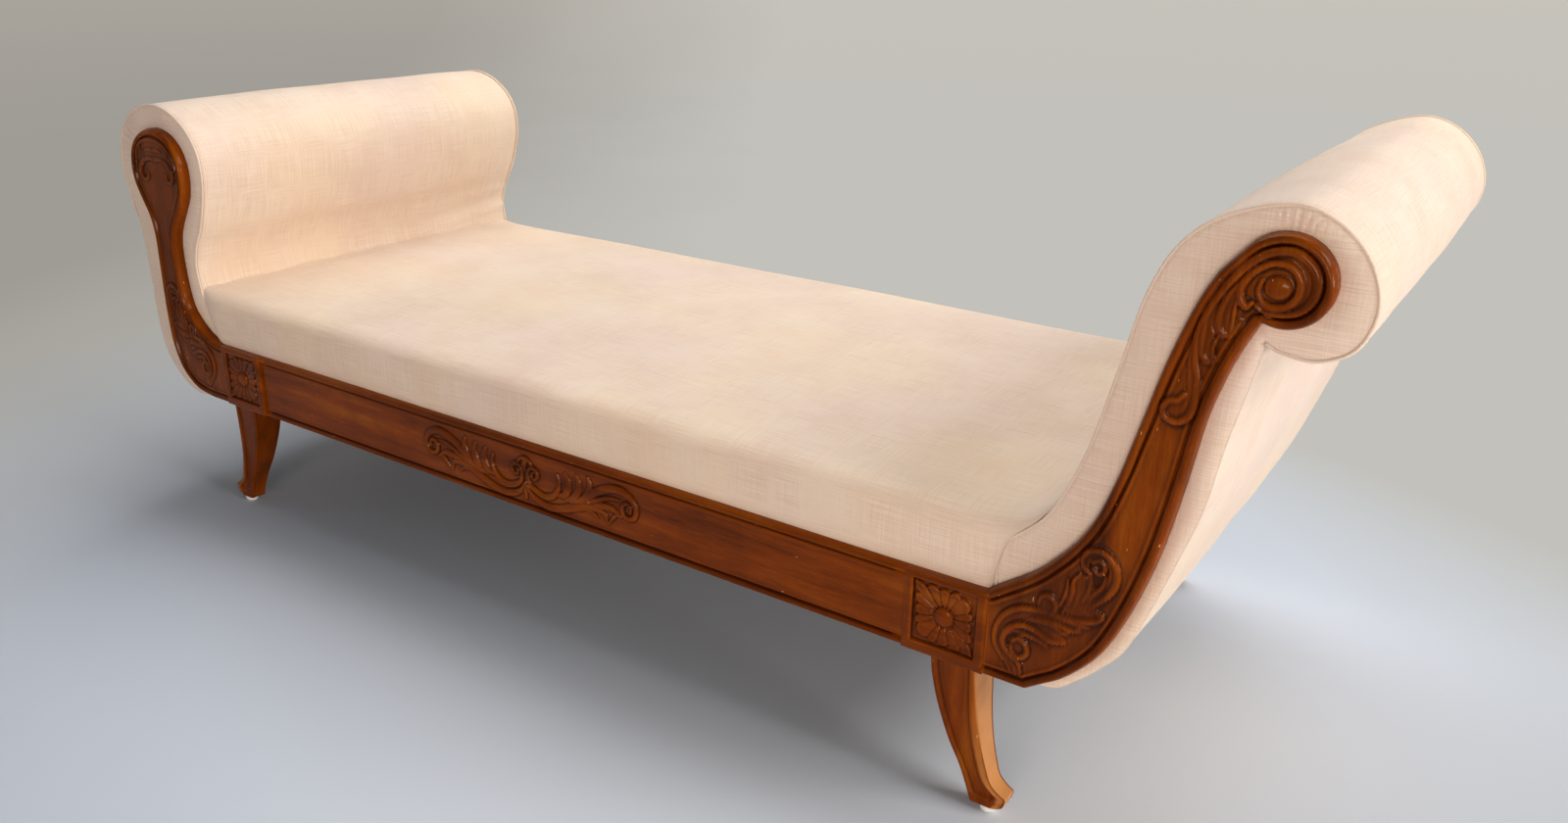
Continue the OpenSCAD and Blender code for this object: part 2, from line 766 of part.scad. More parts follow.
module webbing_along() {
    w = 2 * (face_y - block_d) - web_gap;
    n = strap_count(w);
    l = 2 * block_out - end_rail_t / 2;
    color("tan")
    placed() for (k = [0 : n - 1])
        translate([-l / 2, -w / 2 + k * (w - web_w) / (n - 1), rebate_z + web_t]) cube([l, web_w, web_t]);
}

module seat_hessian() {
    l = 2 * block_out - end_rail_t / 2;
    w = 2 * (seat_y - cover_t - soft_gap);
    color("tan")
    placed() translate([-l / 2, -w / 2, rebate_z + 2 * web_t]) cube([l, w, hessian_t]);
}

// Reach of the seat beyond a corner block at height z, up to the scroll's cover
function seat_reach(left, z) =
    let (run = inside_run(left))
    lookup(z - rail_z, concat([[rail_h, 0]], [for (i = [0 : 4 * steps]) [run[i][1], run[i][0]]]))
        - soft_gap;
// Front half of the seat's section, from its foot in the rebate to its crown
function seat_half() = concat(
    [[-seat_y, rebate_z - rail_top]],
    smooth([for (s = seat_edge_shares) [-seat_y * (1 - s[0]), s[1] * seat_h]]));
// Whole section with its surface moved in by d
function seat_section(d) =
    let (half = moved(seat_half(), d), n = len(half))
    concat(
        [[half[0][0], half[0][1]]],
        [for (i = [1 : n - 2]) half[i]],
        [[0, half[n - 1][1]]],
        [for (i = [n - 2 : -1 : 0]) [-half[i][0], half[i][1]]]);
// Point of the seat's surface at share s of its length
function seat_point(p, s) =
    let (side = 2 * s - 1,
        z = rail_top + p[1] * (p[1] > 0 ? 1 - seat_drop_share * side * side * side * side : 1))
    [-(block_out + seat_reach(true, z)) * (1 - s) + (block_out + seat_reach(false, z)) * s, p[0], z];

// Crowned seat pad on the hessian
module seat_foam() {
    shape = seat_section(cover_t + soft_gap);
    floor_p = foam_z - rail_top;
    section = [for (p = shape) [p[0], max(p[1], floor_p)]];
    color("ivory")
    placed() loft([for (k = [0 : seat_rings]) [for (p = section) seat_point(p, k / seat_rings)]]);
}

// Seat cover: wraps the crown and both long borders down into the rebates
module seat_cover() {
    ring = concat(seat_section(0), reversed(seat_section(cover_t)));
    color("bisque")
    placed() loft([for (k = [0 : seat_rings]) [for (p = ring) seat_point(p, k / seat_rings)]]);
}

// Dust cover tacked under the frame, cut round the corner blocks
module dust_cover() {
    color("dimgray")
    placed()
    difference() {
        union() {
            translate([-block_in, -rail_y + bead_w / 2, rail_z - dust_t])
            cube([2 * block_in, 2 * rail_y - bead_w, dust_t]);
            translate([-block_out + bead_w / 2, -face_y + block_d, rail_z - dust_t])
            cube([2 * block_out - bead_w, 2 * (face_y - block_d), dust_t]);
        }
        at_tacks() translate([0, 0, -dust_t - over]) cylinder(d = tack_pin_d, h = dust_t + 2 * over);
    }
}

module dust_cover_tacks() {
    color("dimgray")
    placed() at_tacks() {
        translate([0, 0, -dust_t - tack_t]) cylinder(d = tack_d, h = tack_t);
        translate([0, 0, -dust_t]) cylinder(d = tack_pin_d, h = tack_pin_l);
    }
}

rail(false);  // front_rail
rail(true);  // back_rail
corner_block(true, false);  // corner_block_front_left
corner_block(false, false);  // corner_block_front_right
corner_block(true, true);  // corner_block_back_left
corner_block(false, true);  // corner_block_back_right
arm_facing(true, false);  // arm_facing_front_left
arm_facing(false, false);  // arm_facing_front_right
arm_facing(true, true);  // arm_facing_back_left
arm_facing(false, true);  // arm_facing_back_right
leg(true, false);  // leg_front_left
leg(false, false);  // leg_front_right
leg(true, true);  // leg_back_left
leg(false, true);  // leg_back_right
floor_glides();
glide_nails();
leg_dowels();
rail_dowels();
end_rail(true);  // end_rail_left
end_rail(false);  // end_rail_right
end_rail_dowels();
seat_brace(brace_shares[0]);  // seat_brace_left
seat_brace(brace_shares[1]);  // seat_brace_middle
seat_brace(brace_shares[2]);  // seat_brace_right
glue_block(true, false);  // glue_block_front_left
glue_block(false, false);  // glue_block_front_right
glue_block(true, true);  // glue_block_back_left
glue_block(false, true);  // glue_block_back_right
glue_block_screws();
scroll_board(true, false);  // scroll_board_front_left
scroll_board(false, false);  // scroll_board_front_right
scroll_board(true, true);  // scroll_board_back_left
scroll_board(false, true);  // scroll_board_back_right
base_rail(true);  // base_rail_left
base_rail(false);  // base_rail_right
base_rail_screws();
scroll_slats(true);  // scroll_slats_left
scroll_slats(false);  // scroll_slats_right
facing_screws();
end_padding(true);  // end_padding_left
end_padding(false);  // end_padding_right
inside_cover(true);  // inside_cover_left
inside_cover(false);  // inside_cover_right
outside_cover(true);  // outside_cover_left
outside_cover(false);  // outside_cover_right
face_panel(true, false);  // face_panel_front_left
face_panel(false, false);  // face_panel_front_right
face_panel(true, true);  // face_panel_back_left
face_panel(false, true);  // face_panel_back_right
welt(true, false);  // welt_front_left
welt(false, false);  // welt_front_right
welt(true, true);  // welt_back_left
welt(false, true);  // welt_back_right
webbing_across();
webbing_along();
seat_hessian();
seat_foam();
seat_cover();
dust_cover();
dust_cover_tacks();
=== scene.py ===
"""Fainting couch: its carved show wood, its fabric, and the room around it.

Surfaces are worked out in millimetres and put into the meshes in metres. Along an end, u runs
outwards from the corner block's outer side and v up from the rails' underside. Depth runs from
the front carved face inwards. A relief's height is positive towards the viewer of that face.
"""
import json
import logging
import math
from dataclasses import dataclass, field
from enum import Enum
from typing import Callable, Optional, Sequence

import bmesh
import bpy
import numpy as np
from mathutils import Matrix, Vector


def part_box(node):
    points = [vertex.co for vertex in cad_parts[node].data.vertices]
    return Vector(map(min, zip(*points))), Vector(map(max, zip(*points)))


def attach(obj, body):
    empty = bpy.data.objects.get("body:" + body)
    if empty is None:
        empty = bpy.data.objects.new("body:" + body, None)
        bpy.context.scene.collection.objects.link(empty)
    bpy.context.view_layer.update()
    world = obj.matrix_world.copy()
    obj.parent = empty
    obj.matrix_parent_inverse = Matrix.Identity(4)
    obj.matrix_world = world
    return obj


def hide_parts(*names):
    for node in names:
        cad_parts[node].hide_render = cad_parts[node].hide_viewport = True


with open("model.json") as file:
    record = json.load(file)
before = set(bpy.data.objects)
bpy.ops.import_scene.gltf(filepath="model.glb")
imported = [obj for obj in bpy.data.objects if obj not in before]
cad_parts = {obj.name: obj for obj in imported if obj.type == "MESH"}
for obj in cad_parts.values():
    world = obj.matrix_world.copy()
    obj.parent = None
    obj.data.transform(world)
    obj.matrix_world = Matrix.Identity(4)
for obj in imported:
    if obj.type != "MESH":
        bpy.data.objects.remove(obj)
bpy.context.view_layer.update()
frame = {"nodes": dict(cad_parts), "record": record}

Array = np.ndarray
LOG = logging.getLogger("couch")

# The solids' measures. REACH and RISE are those of an end, by whether it is the low one.
RAIL_LEN, RAIL_H, RAIL_T, RAIL_Z = 1365.0, 116.0, 30.0, 218.0
DEPTH, BLOCK_W, BLOCK_D, BLOCK_PROUD = 828.0, 116.5, 90.0, 3.0
SHOW_W, REBATE_H, FACING_T = 16.0, 8.0, 20.0
GLIDE_OUT, GLIDE_DEPTH, GLIDE_H = 15.0, 29.0, 12.0
REACH = {False: 369.0, True: 267.0}
RISE = {False: 633.0, True: 552.0}
MID_X = (REACH[True] - REACH[False]) / 2
BLOCK_IN = RAIL_LEN / 2
BLOCK_OUT = BLOCK_IN + BLOCK_W
CORNER_OUT = np.array([BLOCK_OUT, RAIL_Z])
VOLUTE_EYE = np.array([.756 * REACH[False], .875 * RISE[False]])
# Height of the carved boards' sunk field; the lightening of their edges and walls, which is edge wear together with
# painted light; and the painted light that makes their plain sides lighter, as a top lit from above.
FIELD, EDGE_WEAR_AND_PAINTED_LIGHT, PAINTED_LIGHT_SIDE = -3.3, -0.2, -0.9


class Side(Enum):
    """An end of the couch; the value says whether it is the low, left one."""

    HIGH = False
    LOW = True


class Face(Enum):
    """A long side of the couch; the value says whether it is the back."""

    FRONT = False
    BACK = True


# ---- curves ---------------------------------------------------------------

SPAN = 8  # straight steps from one of a curve's points to the next


def curve(points: Sequence[Sequence[float]], per_span: int = SPAN) -> Array:
    """Smooth run through points: each span is a cubic whose slopes follow its neighbours.

    Args:
        points: the places that the run passes through.
        per_span: straight steps in each span.

    Returns:
        The run's points, one row each.
    """
    p = np.asarray(points, float)
    a, d = np.vstack([p[:1], p[:-2]]), np.vstack([p[2:], p[-1:]])
    b, c = p[:-1], p[1:]
    t = (np.arange(per_span) / per_span)[None, :, None]
    a, b, c, d = (q[:, None, :] for q in (a, b, c, d))
    run = (2 * b + (c - a) * t + (2 * a - 5 * b + 4 * c - d) * t**2 + (3 * b - a - 3 * c + d) * t**3) / 2
    return np.vstack([run.reshape(-1, p.shape[1]), p[-1:]])


def travelled(run: Array) -> Array:
    """Distance along a run at each of its points."""
    return np.concatenate([[0.0], np.cumsum(np.linalg.norm(np.diff(run, axis=0), axis=1))])


def even(run: Array, count: int) -> Array:
    """The same run with its points evenly spaced.

    Args:
        run: the run's points.
        count: how many points to give.

    Returns:
        The spaced points.
    """
    s = travelled(run)
    where = np.linspace(0, s[-1], count)
    return np.stack([np.interp(where, s, run[:, k]) for k in range(run.shape[1])], axis=1)


def sideways(run: Array) -> Array:
    """Unit normals to the right of a run in a plane.

    Args:
        run: the run's points.

    Returns:
        One normal for each point.
    """
    d = np.gradient(run, axis=0)
    n = np.stack([d[:, 1], -d[:, 0]], axis=1)
    return n / np.maximum(np.linalg.norm(n, axis=1, keepdims=True), 1e-9)


def nearest(points: Array, run: Array) -> tuple[Array, Array]:
    """Distance from points to a run, and how far along it the nearest place lies.

    Each point is dropped onto every straight step at once and the shortest drop is kept.

    Args:
        points: places in the plane, one row each.
        run: the run's points.

    Returns:
        The distances, and the shares of the run's length.
    """
    a, step = run[:-1], np.diff(run, axis=0)
    long2 = np.maximum((step**2).sum(1), 1e-12)
    rel = points[:, None, :] - a[None]
    t = np.clip((rel * step[None]).sum(2) / long2, 0, 1)
    gap = np.sqrt(((rel - t[..., None] * step[None]) ** 2).sum(2))
    k = gap.argmin(1)
    row = np.arange(len(points))
    s = travelled(run)
    along = (s[k] + t[row, k] * np.sqrt(long2[k])) / s[-1]
    return gap[row, k], along


def enclosed(points: Array, ring: Array) -> Array:
    """Whether points lie inside a closed ring: a ray to the right crosses it an odd number of times.

    Args:
        points: places in the plane, one row each.
        ring: the ring's points.

    Returns:
        Whether each point is inside.
    """
    a, b = ring, np.roll(ring, -1, axis=0)
    x, z = points[:, 0, None], points[:, 1, None]
    spans = (a[:, 1] > z) != (b[:, 1] > z)
    slope = (b[:, 0] - a[:, 0]) / np.where(b[:, 1] == a[:, 1], 1e-9, b[:, 1] - a[:, 1])
    return ((spans & (x < a[:, 0] + (z - a[:, 1]) * slope)).sum(1) % 2) == 1


def scroll(centre: tuple[float, float], r0: float, r1: float, a0: float, a1: float, count: int = 30) -> list:
    """Spiral about a centre: its radius and its angle in degrees both change at a steady rate.

    Args:
        centre: the spiral's middle.
        r0: its first radius.
        r1: its last radius.
        a0: its first angle.
        a1: its last angle.
        count: how many points to give.

    Returns:
        The spiral's points.
    """
    t = np.linspace(0, 1, count)
    a, r = np.radians(a0 + (a1 - a0) * t), r0 + (r1 - r0) * t
    return np.stack([centre[0] + r * np.cos(a), centre[1] + r * np.sin(a)], 1).tolist()


def rise(x: Array) -> Array:
    """Smooth step from 0 to 1 as x goes from 0 to 1."""
    x = np.clip(x, 0, 1)
    return x * x * (3 - 2 * x)


def bump(x: Array) -> Array:
    """Smooth hump that is 1 at x = 0 and 0 from |x| = 1 on."""
    return np.clip(1 - x * x, 0, None) ** 1.5


# ---- meshes ---------------------------------------------------------------


@dataclass(frozen=True)
class Place:
    """Where an end's or a side's own measures lie on the couch."""

    side: Side = Side.HIGH
    face: Face = Face.FRONT

    def world(self, out: Array, depth: Array, z: Array) -> Array:
        """Points in metres from millimetres.

        Args:
            out: distance from the couch's middle towards this end.
            depth: distance inwards from this side's carved face.
            z: height above the floor.

        Returns:
            The points, with one more axis than the measures.
        """
        x = MID_X + (-out if self.side.value else out)
        y = (DEPTH / 2 - depth) if self.face.value else (depth - DEPTH / 2)
        return np.stack(np.broadcast_arrays(x, y, z), axis=-1) / 1000

    @property
    def name(self) -> str:
        """The place's words as the nodes' names have them."""
        return f"{'back' if self.face.value else 'front'}_{'left' if self.side.value else 'right'}"


CORNERS = tuple(Place(side, face) for face in Face for side in Side)


def grid_quads(rows: int, cols: int, wrap: bool = False) -> Array:
    """Corner numbers of the quads between neighbouring rows and columns of a grid.

    Args:
        rows: how many rows the grid has.
        cols: how many columns it has.
        wrap: whether its last column joins its first.

    Returns:
        Four numbers for each quad.
    """
    i = np.arange(rows - 1)[:, None]
    j = np.arange(cols if wrap else cols - 1)[None]
    a, b = i * cols + j, i * cols + (j + 1) % cols
    return np.stack([a, b, b + cols, a + cols], axis=-1).reshape(-1, 4)


def smoothed(rows: Array, reach: int) -> Array:
    """Rows averaged over the neighbours within reach, by the differences of their running sum."""
    c = np.cumsum(np.pad(rows, [(reach + 1, reach), (0, 0)], mode="edge"), axis=0)
    return (c[2 * reach + 1 :] - c[: -2 * reach - 1]) / (2 * reach + 1)


def softened(h: Array, reach: int) -> Array:
    """Heights of a grid averaged over the neighbours within reach, along both of its axes."""
    return smoothed(smoothed(h, reach).T, reach).T


def stain_and_shade_depth(h: Array) -> Array:
    """How much pooled staining and painted shade a relief holds: how far a point lies below its neighbours, and how
    busy the carving is.

    Below 0 the wood is painted lighter, as along the relief's outer edges, where this is edge wear with painted light.

    Args:
        h: the relief's heights on a grid.

    Returns:
        The pooled staining and painted shade at each point of the grid.
    """
    sunk = softened(h, 2) - h
    depth = sunk + 1.6 * softened(np.abs(sunk), 7)
    depth[[0, 1, -2, -1]] = depth[:, [0, 1, -2, -1]] = EDGE_WEAR_AND_PAINTED_LIGHT
    return depth


def skin(
    name: str,
    points: Array,
    quads: Array,
    caps: Sequence[Sequence[int]] = (),
    cloth: Optional[Array] = None,
    hollow: Optional[Array] = None,
    crease: float = 40.0,
) -> bpy.types.Object:
    """Closed mesh from points and quads, with its doubles merged and its faces turned outwards.

    Args:
        name: the piece's name.
        points: corners in metres, one row each.
        quads: corner numbers of the quads.
        caps: corner numbers of faces with more sides, which close the ends.
        cloth: metres along and across the cloth at each corner, kept as a UV map.
        hollow: how deep in a hollow each corner lies, kept as an attribute that drives painted shade and painted light
            in the finishes.
        crease: edges sharper than this many degrees stay sharp.

    Returns:
        The new object.
    """
    mesh = bpy.data.meshes.new(name)
    mesh.from_pydata(points.tolist(), [], quads.tolist() + [list(c) for c in caps])
    if cloth is not None:
        corner = np.empty(len(mesh.loops), int)
        mesh.loops.foreach_get("vertex_index", corner)
        mesh.uv_layers.new(name="cloth").data.foreach_set("uv", cloth[corner].astype(np.float32).ravel())
    if hollow is not None:
        layer = mesh.attributes.new("hollow", "FLOAT", "POINT")
        layer.data.foreach_set("value", hollow.astype(np.float32))
    work = bmesh.new()
    work.from_mesh(mesh)
    bmesh.ops.remove_doubles(work, verts=work.verts, dist=2e-6)
    bmesh.ops.dissolve_degenerate(work, edges=work.edges, dist=1e-7)
    bmesh.ops.recalc_face_normals(work, faces=work.faces)
    work.to_mesh(mesh)
    work.free()
    mesh.polygons.foreach_set("use_smooth", np.ones(len(mesh.polygons), bool))
    mesh.set_sharp_from_angle(angle=math.radians(crease))
    piece = bpy.data.objects.new(name, mesh)
    bpy.context.scene.collection.objects.link(piece)
    return piece


def bundle(name: str, stacks: Sequence[Array], **extra: object) -> bpy.types.Object:
    """One piece from stacks of closed rings, each stack with its first and last ring filled.

    Args:
        name: the piece's name.
        stacks: points in metres, by ring and by place on it.
        extra: what a skin takes besides.

    Returns:
        The new object.
    """
    quads, caps, first = [], [], 0
    for rings in stacks:
        rows, cols = rings.shape[:2]
        quads.append(grid_quads(rows, cols, wrap=True) + first)
        number = first + np.arange(rows * cols)
        caps += [number[:cols][::-1].tolist(), number[-cols:].tolist()]
        first += rows * cols
    return skin(name, np.vstack([rings.reshape(-1, 3) for rings in stacks]), np.vstack(quads), caps, **extra)


def loft(name: str, rings: Array, **extra: object) -> bpy.types.Object:
    """Closed skin over a stack of closed rings, whose first and last ring are filled."""
    return bundle(name, [rings], **extra)


def plate(
    name: str,
    place: Place,
    side_a: Array,
    side_b: Array,
    across: Array,
    height: Callable[[Array], Array],
    front: float,
    back: float,
    cloth: bool = False,
) -> bpy.types.Object:
    """Flat board between two runs, with a relief on its front.

    Rows of the grid are straight lines from one run to the other, and both runs end at one point.

    Args:
        name: the piece's name.
        place: the end and the side that it belongs to.
        side_a: one run in u and v.
        side_b: the other run, with as many points.
        across: shares of the way from the first run to the second.
        height: relief in millimetres at points in u and v.
        front: depth of the relief's zero.
        back: depth of the board's flat back.
        cloth: whether to keep u and v as the cloth's UV map.

    Returns:
        The new object.
    """
    t = across[None, :, None]
    flat = side_a[:, None] * (1 - t) + side_b[:, None] * t
    rows, cols = flat.shape[:2]
    uv = flat.reshape(-1, 2)
    h = height(uv).reshape(rows, cols)
    # Painted shade: cloth darkens where it lies below its neighbours, in seams and dips; wood holds pooled staining and
    # painted shade, and its walls are painted a little lighter as painted light.
    sunk = (softened(h, 3) - h if cloth else stain_and_shade_depth(h)).ravel()
    top = place.world(BLOCK_OUT + uv[:, 0], front - h.ravel(), RAIL_Z + uv[:, 1])
    n = np.arange(rows * cols).reshape(rows, cols)
    loop = np.concatenate([n[0], n[1:, -1], n[-1, -2::-1], n[-2:0:-1, 0]])
    edge = uv[loop]
    low = place.world(BLOCK_OUT + edge[:, 0], np.full(len(loop), back), RAIL_Z + edge[:, 1])
    under = rows * cols + np.arange(len(loop))
    walls = np.stack([loop, np.roll(loop, -1), np.roll(under, -1), under], axis=1)
    return skin(
        name,
        np.vstack([top, low]),
        np.vstack([grid_quads(rows, cols), walls]),
        [under.tolist()],
        cloth=np.vstack([uv, edge]) / 1000 if cloth else None,
        hollow=np.concatenate([sunk, np.full(len(loop), 0.0 if cloth else EDGE_WEAR_AND_PAINTED_LIGHT)]),
        crease=40.0 if cloth else 58.0,
    )


# ---- carving --------------------------------------------------------------


@dataclass(frozen=True)
class Ridge:
    """Carved ridge along a curve, with half widths and heights spaced along it."""

    path: Sequence[Sequence[float]]
    half: Sequence[float] = (1.2, 3.4, 1.2)
    tall: Sequence[float] = (1.6, 3.0, 1.4)

    def lift(self, points: Array) -> tuple[Array, Array]:
        """Height of the ridge and of the cut beside it.

        The section is a rounded crest: 1.2 times the height times (1 - (gap / half width)^2) to the 0.6.
        The cut is a smooth trough just outside the ridge.

        Args:
            points: places in the plane, one row each.

        Returns:
            The heights, and the depths of the cut.
        """
        run = curve(self.path, 5)
        full = 1.3
        wide = full * max(self.half) + 4
        inside = ((points > run.min(0) - wide) & (points < run.max(0) + wide)).all(1)
        up, cut = np.zeros(len(points)), np.zeros(len(points))
        if inside.any():
            gap, along = nearest(points[inside], run)
            half = full * np.interp(along, np.linspace(0, 1, len(self.half)), self.half)
            tall = np.interp(along, np.linspace(0, 1, len(self.tall)), self.tall)
            up[inside] = 1.2 * tall * np.clip(1 - (gap / half) ** 2, 0, 1) ** 0.6
            cut[inside] = 0.7 * bump((gap - half - 1.2) / 2.4)
        return up, cut

    def moved_by(self, scale: Sequence[float], step: Sequence[float], flat: float) -> "Ridge":
        """The ridge scaled, moved and flattened."""
        path = (np.asarray(self.path) * scale + step).tolist()
        return Ridge(path, self.half, tuple(flat * t for t in self.tall))


@dataclass(frozen=True)
class Mass:
    """Raised body of a leaf within closed outlines, on which its ridges lie; a second outline is a hole."""

    outlines: Sequence[Sequence[Sequence[float]]]
    tall: float = 1.9

    def lift(self, points: Array) -> tuple[Array, Array]:
        """Height of the body and of the cut beside it.

        A point is inside when it lies within an odd number of outlines. The height is a smooth
        step over 2 mm from the nearest outline, dished by a fifth towards the middle.

        Args:
            points: places in the plane, one row each.

        Returns:
            The heights, and the depths of the cut.
        """
        up, cut = np.zeros(len(points)), np.zeros(len(points))
        rings = [curve([*ring, ring[0]], 3) for ring in self.outlines]
        near = ((points > rings[0].min(0) - 5) & (points < rings[0].max(0) + 5)).all(1)
        if near.any():
            spot = points[near]
            gap = np.minimum.reduce([nearest(spot, ring)[0] for ring in rings])
            inner = np.logical_xor.reduce([enclosed(spot, ring) for ring in rings])
            up[near] = inner * self.tall * rise(gap / 2.0) * (1 - 0.2 * rise((gap - 2) / 5))
            cut[near] = ~inner * 0.8 * bump((gap - 1.0) / 2.6)
        return up, cut

    def moved_by(self, scale: Sequence[float], step: Sequence[float], flat: float) -> "Mass":
        """The body scaled, moved and flattened."""
        return Mass([(np.asarray(ring) * scale + step).tolist() for ring in self.outlines], flat * self.tall)


def carved(points: Array, parts: Sequence) -> tuple[Array, Array]:
    """Heights of bodies and ridges, and the depths of the cuts beside them.

    The tallest ridge counts at each point; where it has a body under it, its cut grooves the body.

    Args:
        points: places in the plane, one row each.
        parts: the bodies and ridges.

    Returns:
        The heights, and the depths of the cuts.
    """
    body, edge, up, low = (np.zeros(len(points)) for _ in range(4))
    for part in parts:
        u, c = part.lift(points)
        if isinstance(part, Mass):
            body, edge = np.maximum(body, u), np.maximum(edge, c)
        else:
            up, low = np.maximum(up, u), np.maximum(low, c)
    return np.maximum(up, body - 1.1 * low * (body > 0.6)), np.maximum(low, edge)


def laid(ground: Array, up: Array, cut: Array) -> Array:
    """Ridges laid on a ground: they rise from its sunk field, and the cuts beside them lower it."""
    return np.where(up > 0.02, np.maximum(ground, FIELD + up), ground - cut * (up <= 0.6))


def shifted(parts: Sequence, sx: float, sy: float, dx: float, dy: float, flat: float = 1.0) -> list:
    """Bodies and ridges scaled by sx and sy, moved by dx and dy, and flattened."""
    return [part.moved_by([sx, sy], [dx, dy], flat) for part in parts]


def moulded_edge(d: Array, fillet: "float | Array") -> Array:
    """Relief beside an edge at distance d: a round bead, a dark groove, a thin fillet, then the field.

    Args:
        d: the distances.
        fillet: the fillet's height.

    Returns:
        The heights.
    """
    bead = 3.6 * bump((d - 5.2) / 7.0)
    groove = -2.0 * bump((d - 12.4) / 2.7)
    return FIELD + bead + groove + fillet * bump((d - 16.6) / 3.0) - 0.25 * np.clip(2.5 - d, 0, None) ** 2


# Traced on the high end's carved face: distance out from the couch's middle plus 51, and height.
VOLUTE = [
    Mass([[[996, 609], [986, 609], [979, 616], [978, 626], [984, 633], [992, 632], [994, 638], [1001, 643], [1000, 657],
           [999, 676], [1000, 698], [1002, 715], [1008, 737], [1017, 759], [1028, 777], [1043, 794], [1056, 804],
           [1072, 809], [1087, 809], [1101, 801], [1110, 789], [1113, 774], [1110, 759], [1100, 748], [1085, 741],
           [1066, 740], [1055, 746], [1058, 753], [1068, 748], [1080, 748], [1092, 754], [1097, 767], [1097, 781],
           [1091, 792], [1080, 796], [1065, 794], [1051, 786], [1042, 774], [1038, 761], [1038, 748], [1035, 732],
           [1035, 713], [1029, 707], [1023, 711], [1023, 702], [1023, 689], [1023, 680], [1018, 677], [1012, 679],
           [1008, 682], [1012, 661], [1013, 644], [1011, 626], [1006, 614]]], 1.7),
    Ridge([[1074, 769], [1077, 769]], (9.0,), (2.9,)),
    Ridge([[1046, 747], [1040, 756], [1042, 770], [1051, 783], [1064, 792], [1078, 794], [1090, 788], [1096, 775],
           [1094, 761], [1085, 751], [1073, 748], [1062, 753], [1057, 763], [1059, 774]],
          (3.5, 3.2, 3.4, 3.6, 3.4, 1.6), (3.2, 3.0, 3.2, 3.2, 3.0, 1.6)),
    Ridge([[1000, 641], [994, 633], [985, 631], [979, 622], [982, 612], [992, 608], [1003, 612], [1009, 622],
           [1011, 640], [1010, 660], [1006, 676], [1004, 692], [1004, 706], [1008, 724], [1015, 742], [1024, 760],
           [1035, 777], [1049, 793], [1066, 804], [1084, 807], [1099, 800], [1109, 787], [1111, 771], [1106, 756],
           [1096, 747], [1082, 743], [1068, 742]],
          (2.4, 3.2, 3.6, 3.0, 3.0, 3.2, 4.0, 4.2, 4.2, 3.4, 2.6),
          (1.8, 2.8, 3.0, 2.8, 2.8, 3.2, 3.6, 3.6, 3.4, 3.0, 2.0)),
    Ridge([[1038, 768], [1029, 753], [1024, 737], [1023, 723], [1028, 714], [1036, 712]], (1.4, 3.0, 3.2, 2.4)),
    Ridge([[1039, 757], [1037, 742], [1037, 728], [1036, 716]], (1.2, 2.0, 1.6)),
    Ridge([[1014, 737], [1010, 722], [1009, 706], [1010, 691], [1015, 683], [1021, 682]], (1.4, 2.8, 3.0, 2.2)),
    Ridge([[1026, 711], [1022, 700], [1022, 690], [1024, 680]], (1.2, 2.0, 1.6)),
    Ridge([[1041, 759], [1041, 750], [1047, 745], [1052, 750]], (2.2, 3.0, 2.4), (2.6, 3.4, 2.6)),
    Ridge([[1001, 702], [1000, 684], [1001, 664], [1002, 648]], (0.8, 1.7, 0.8), (0.8, 1.4, 0.6)),
]
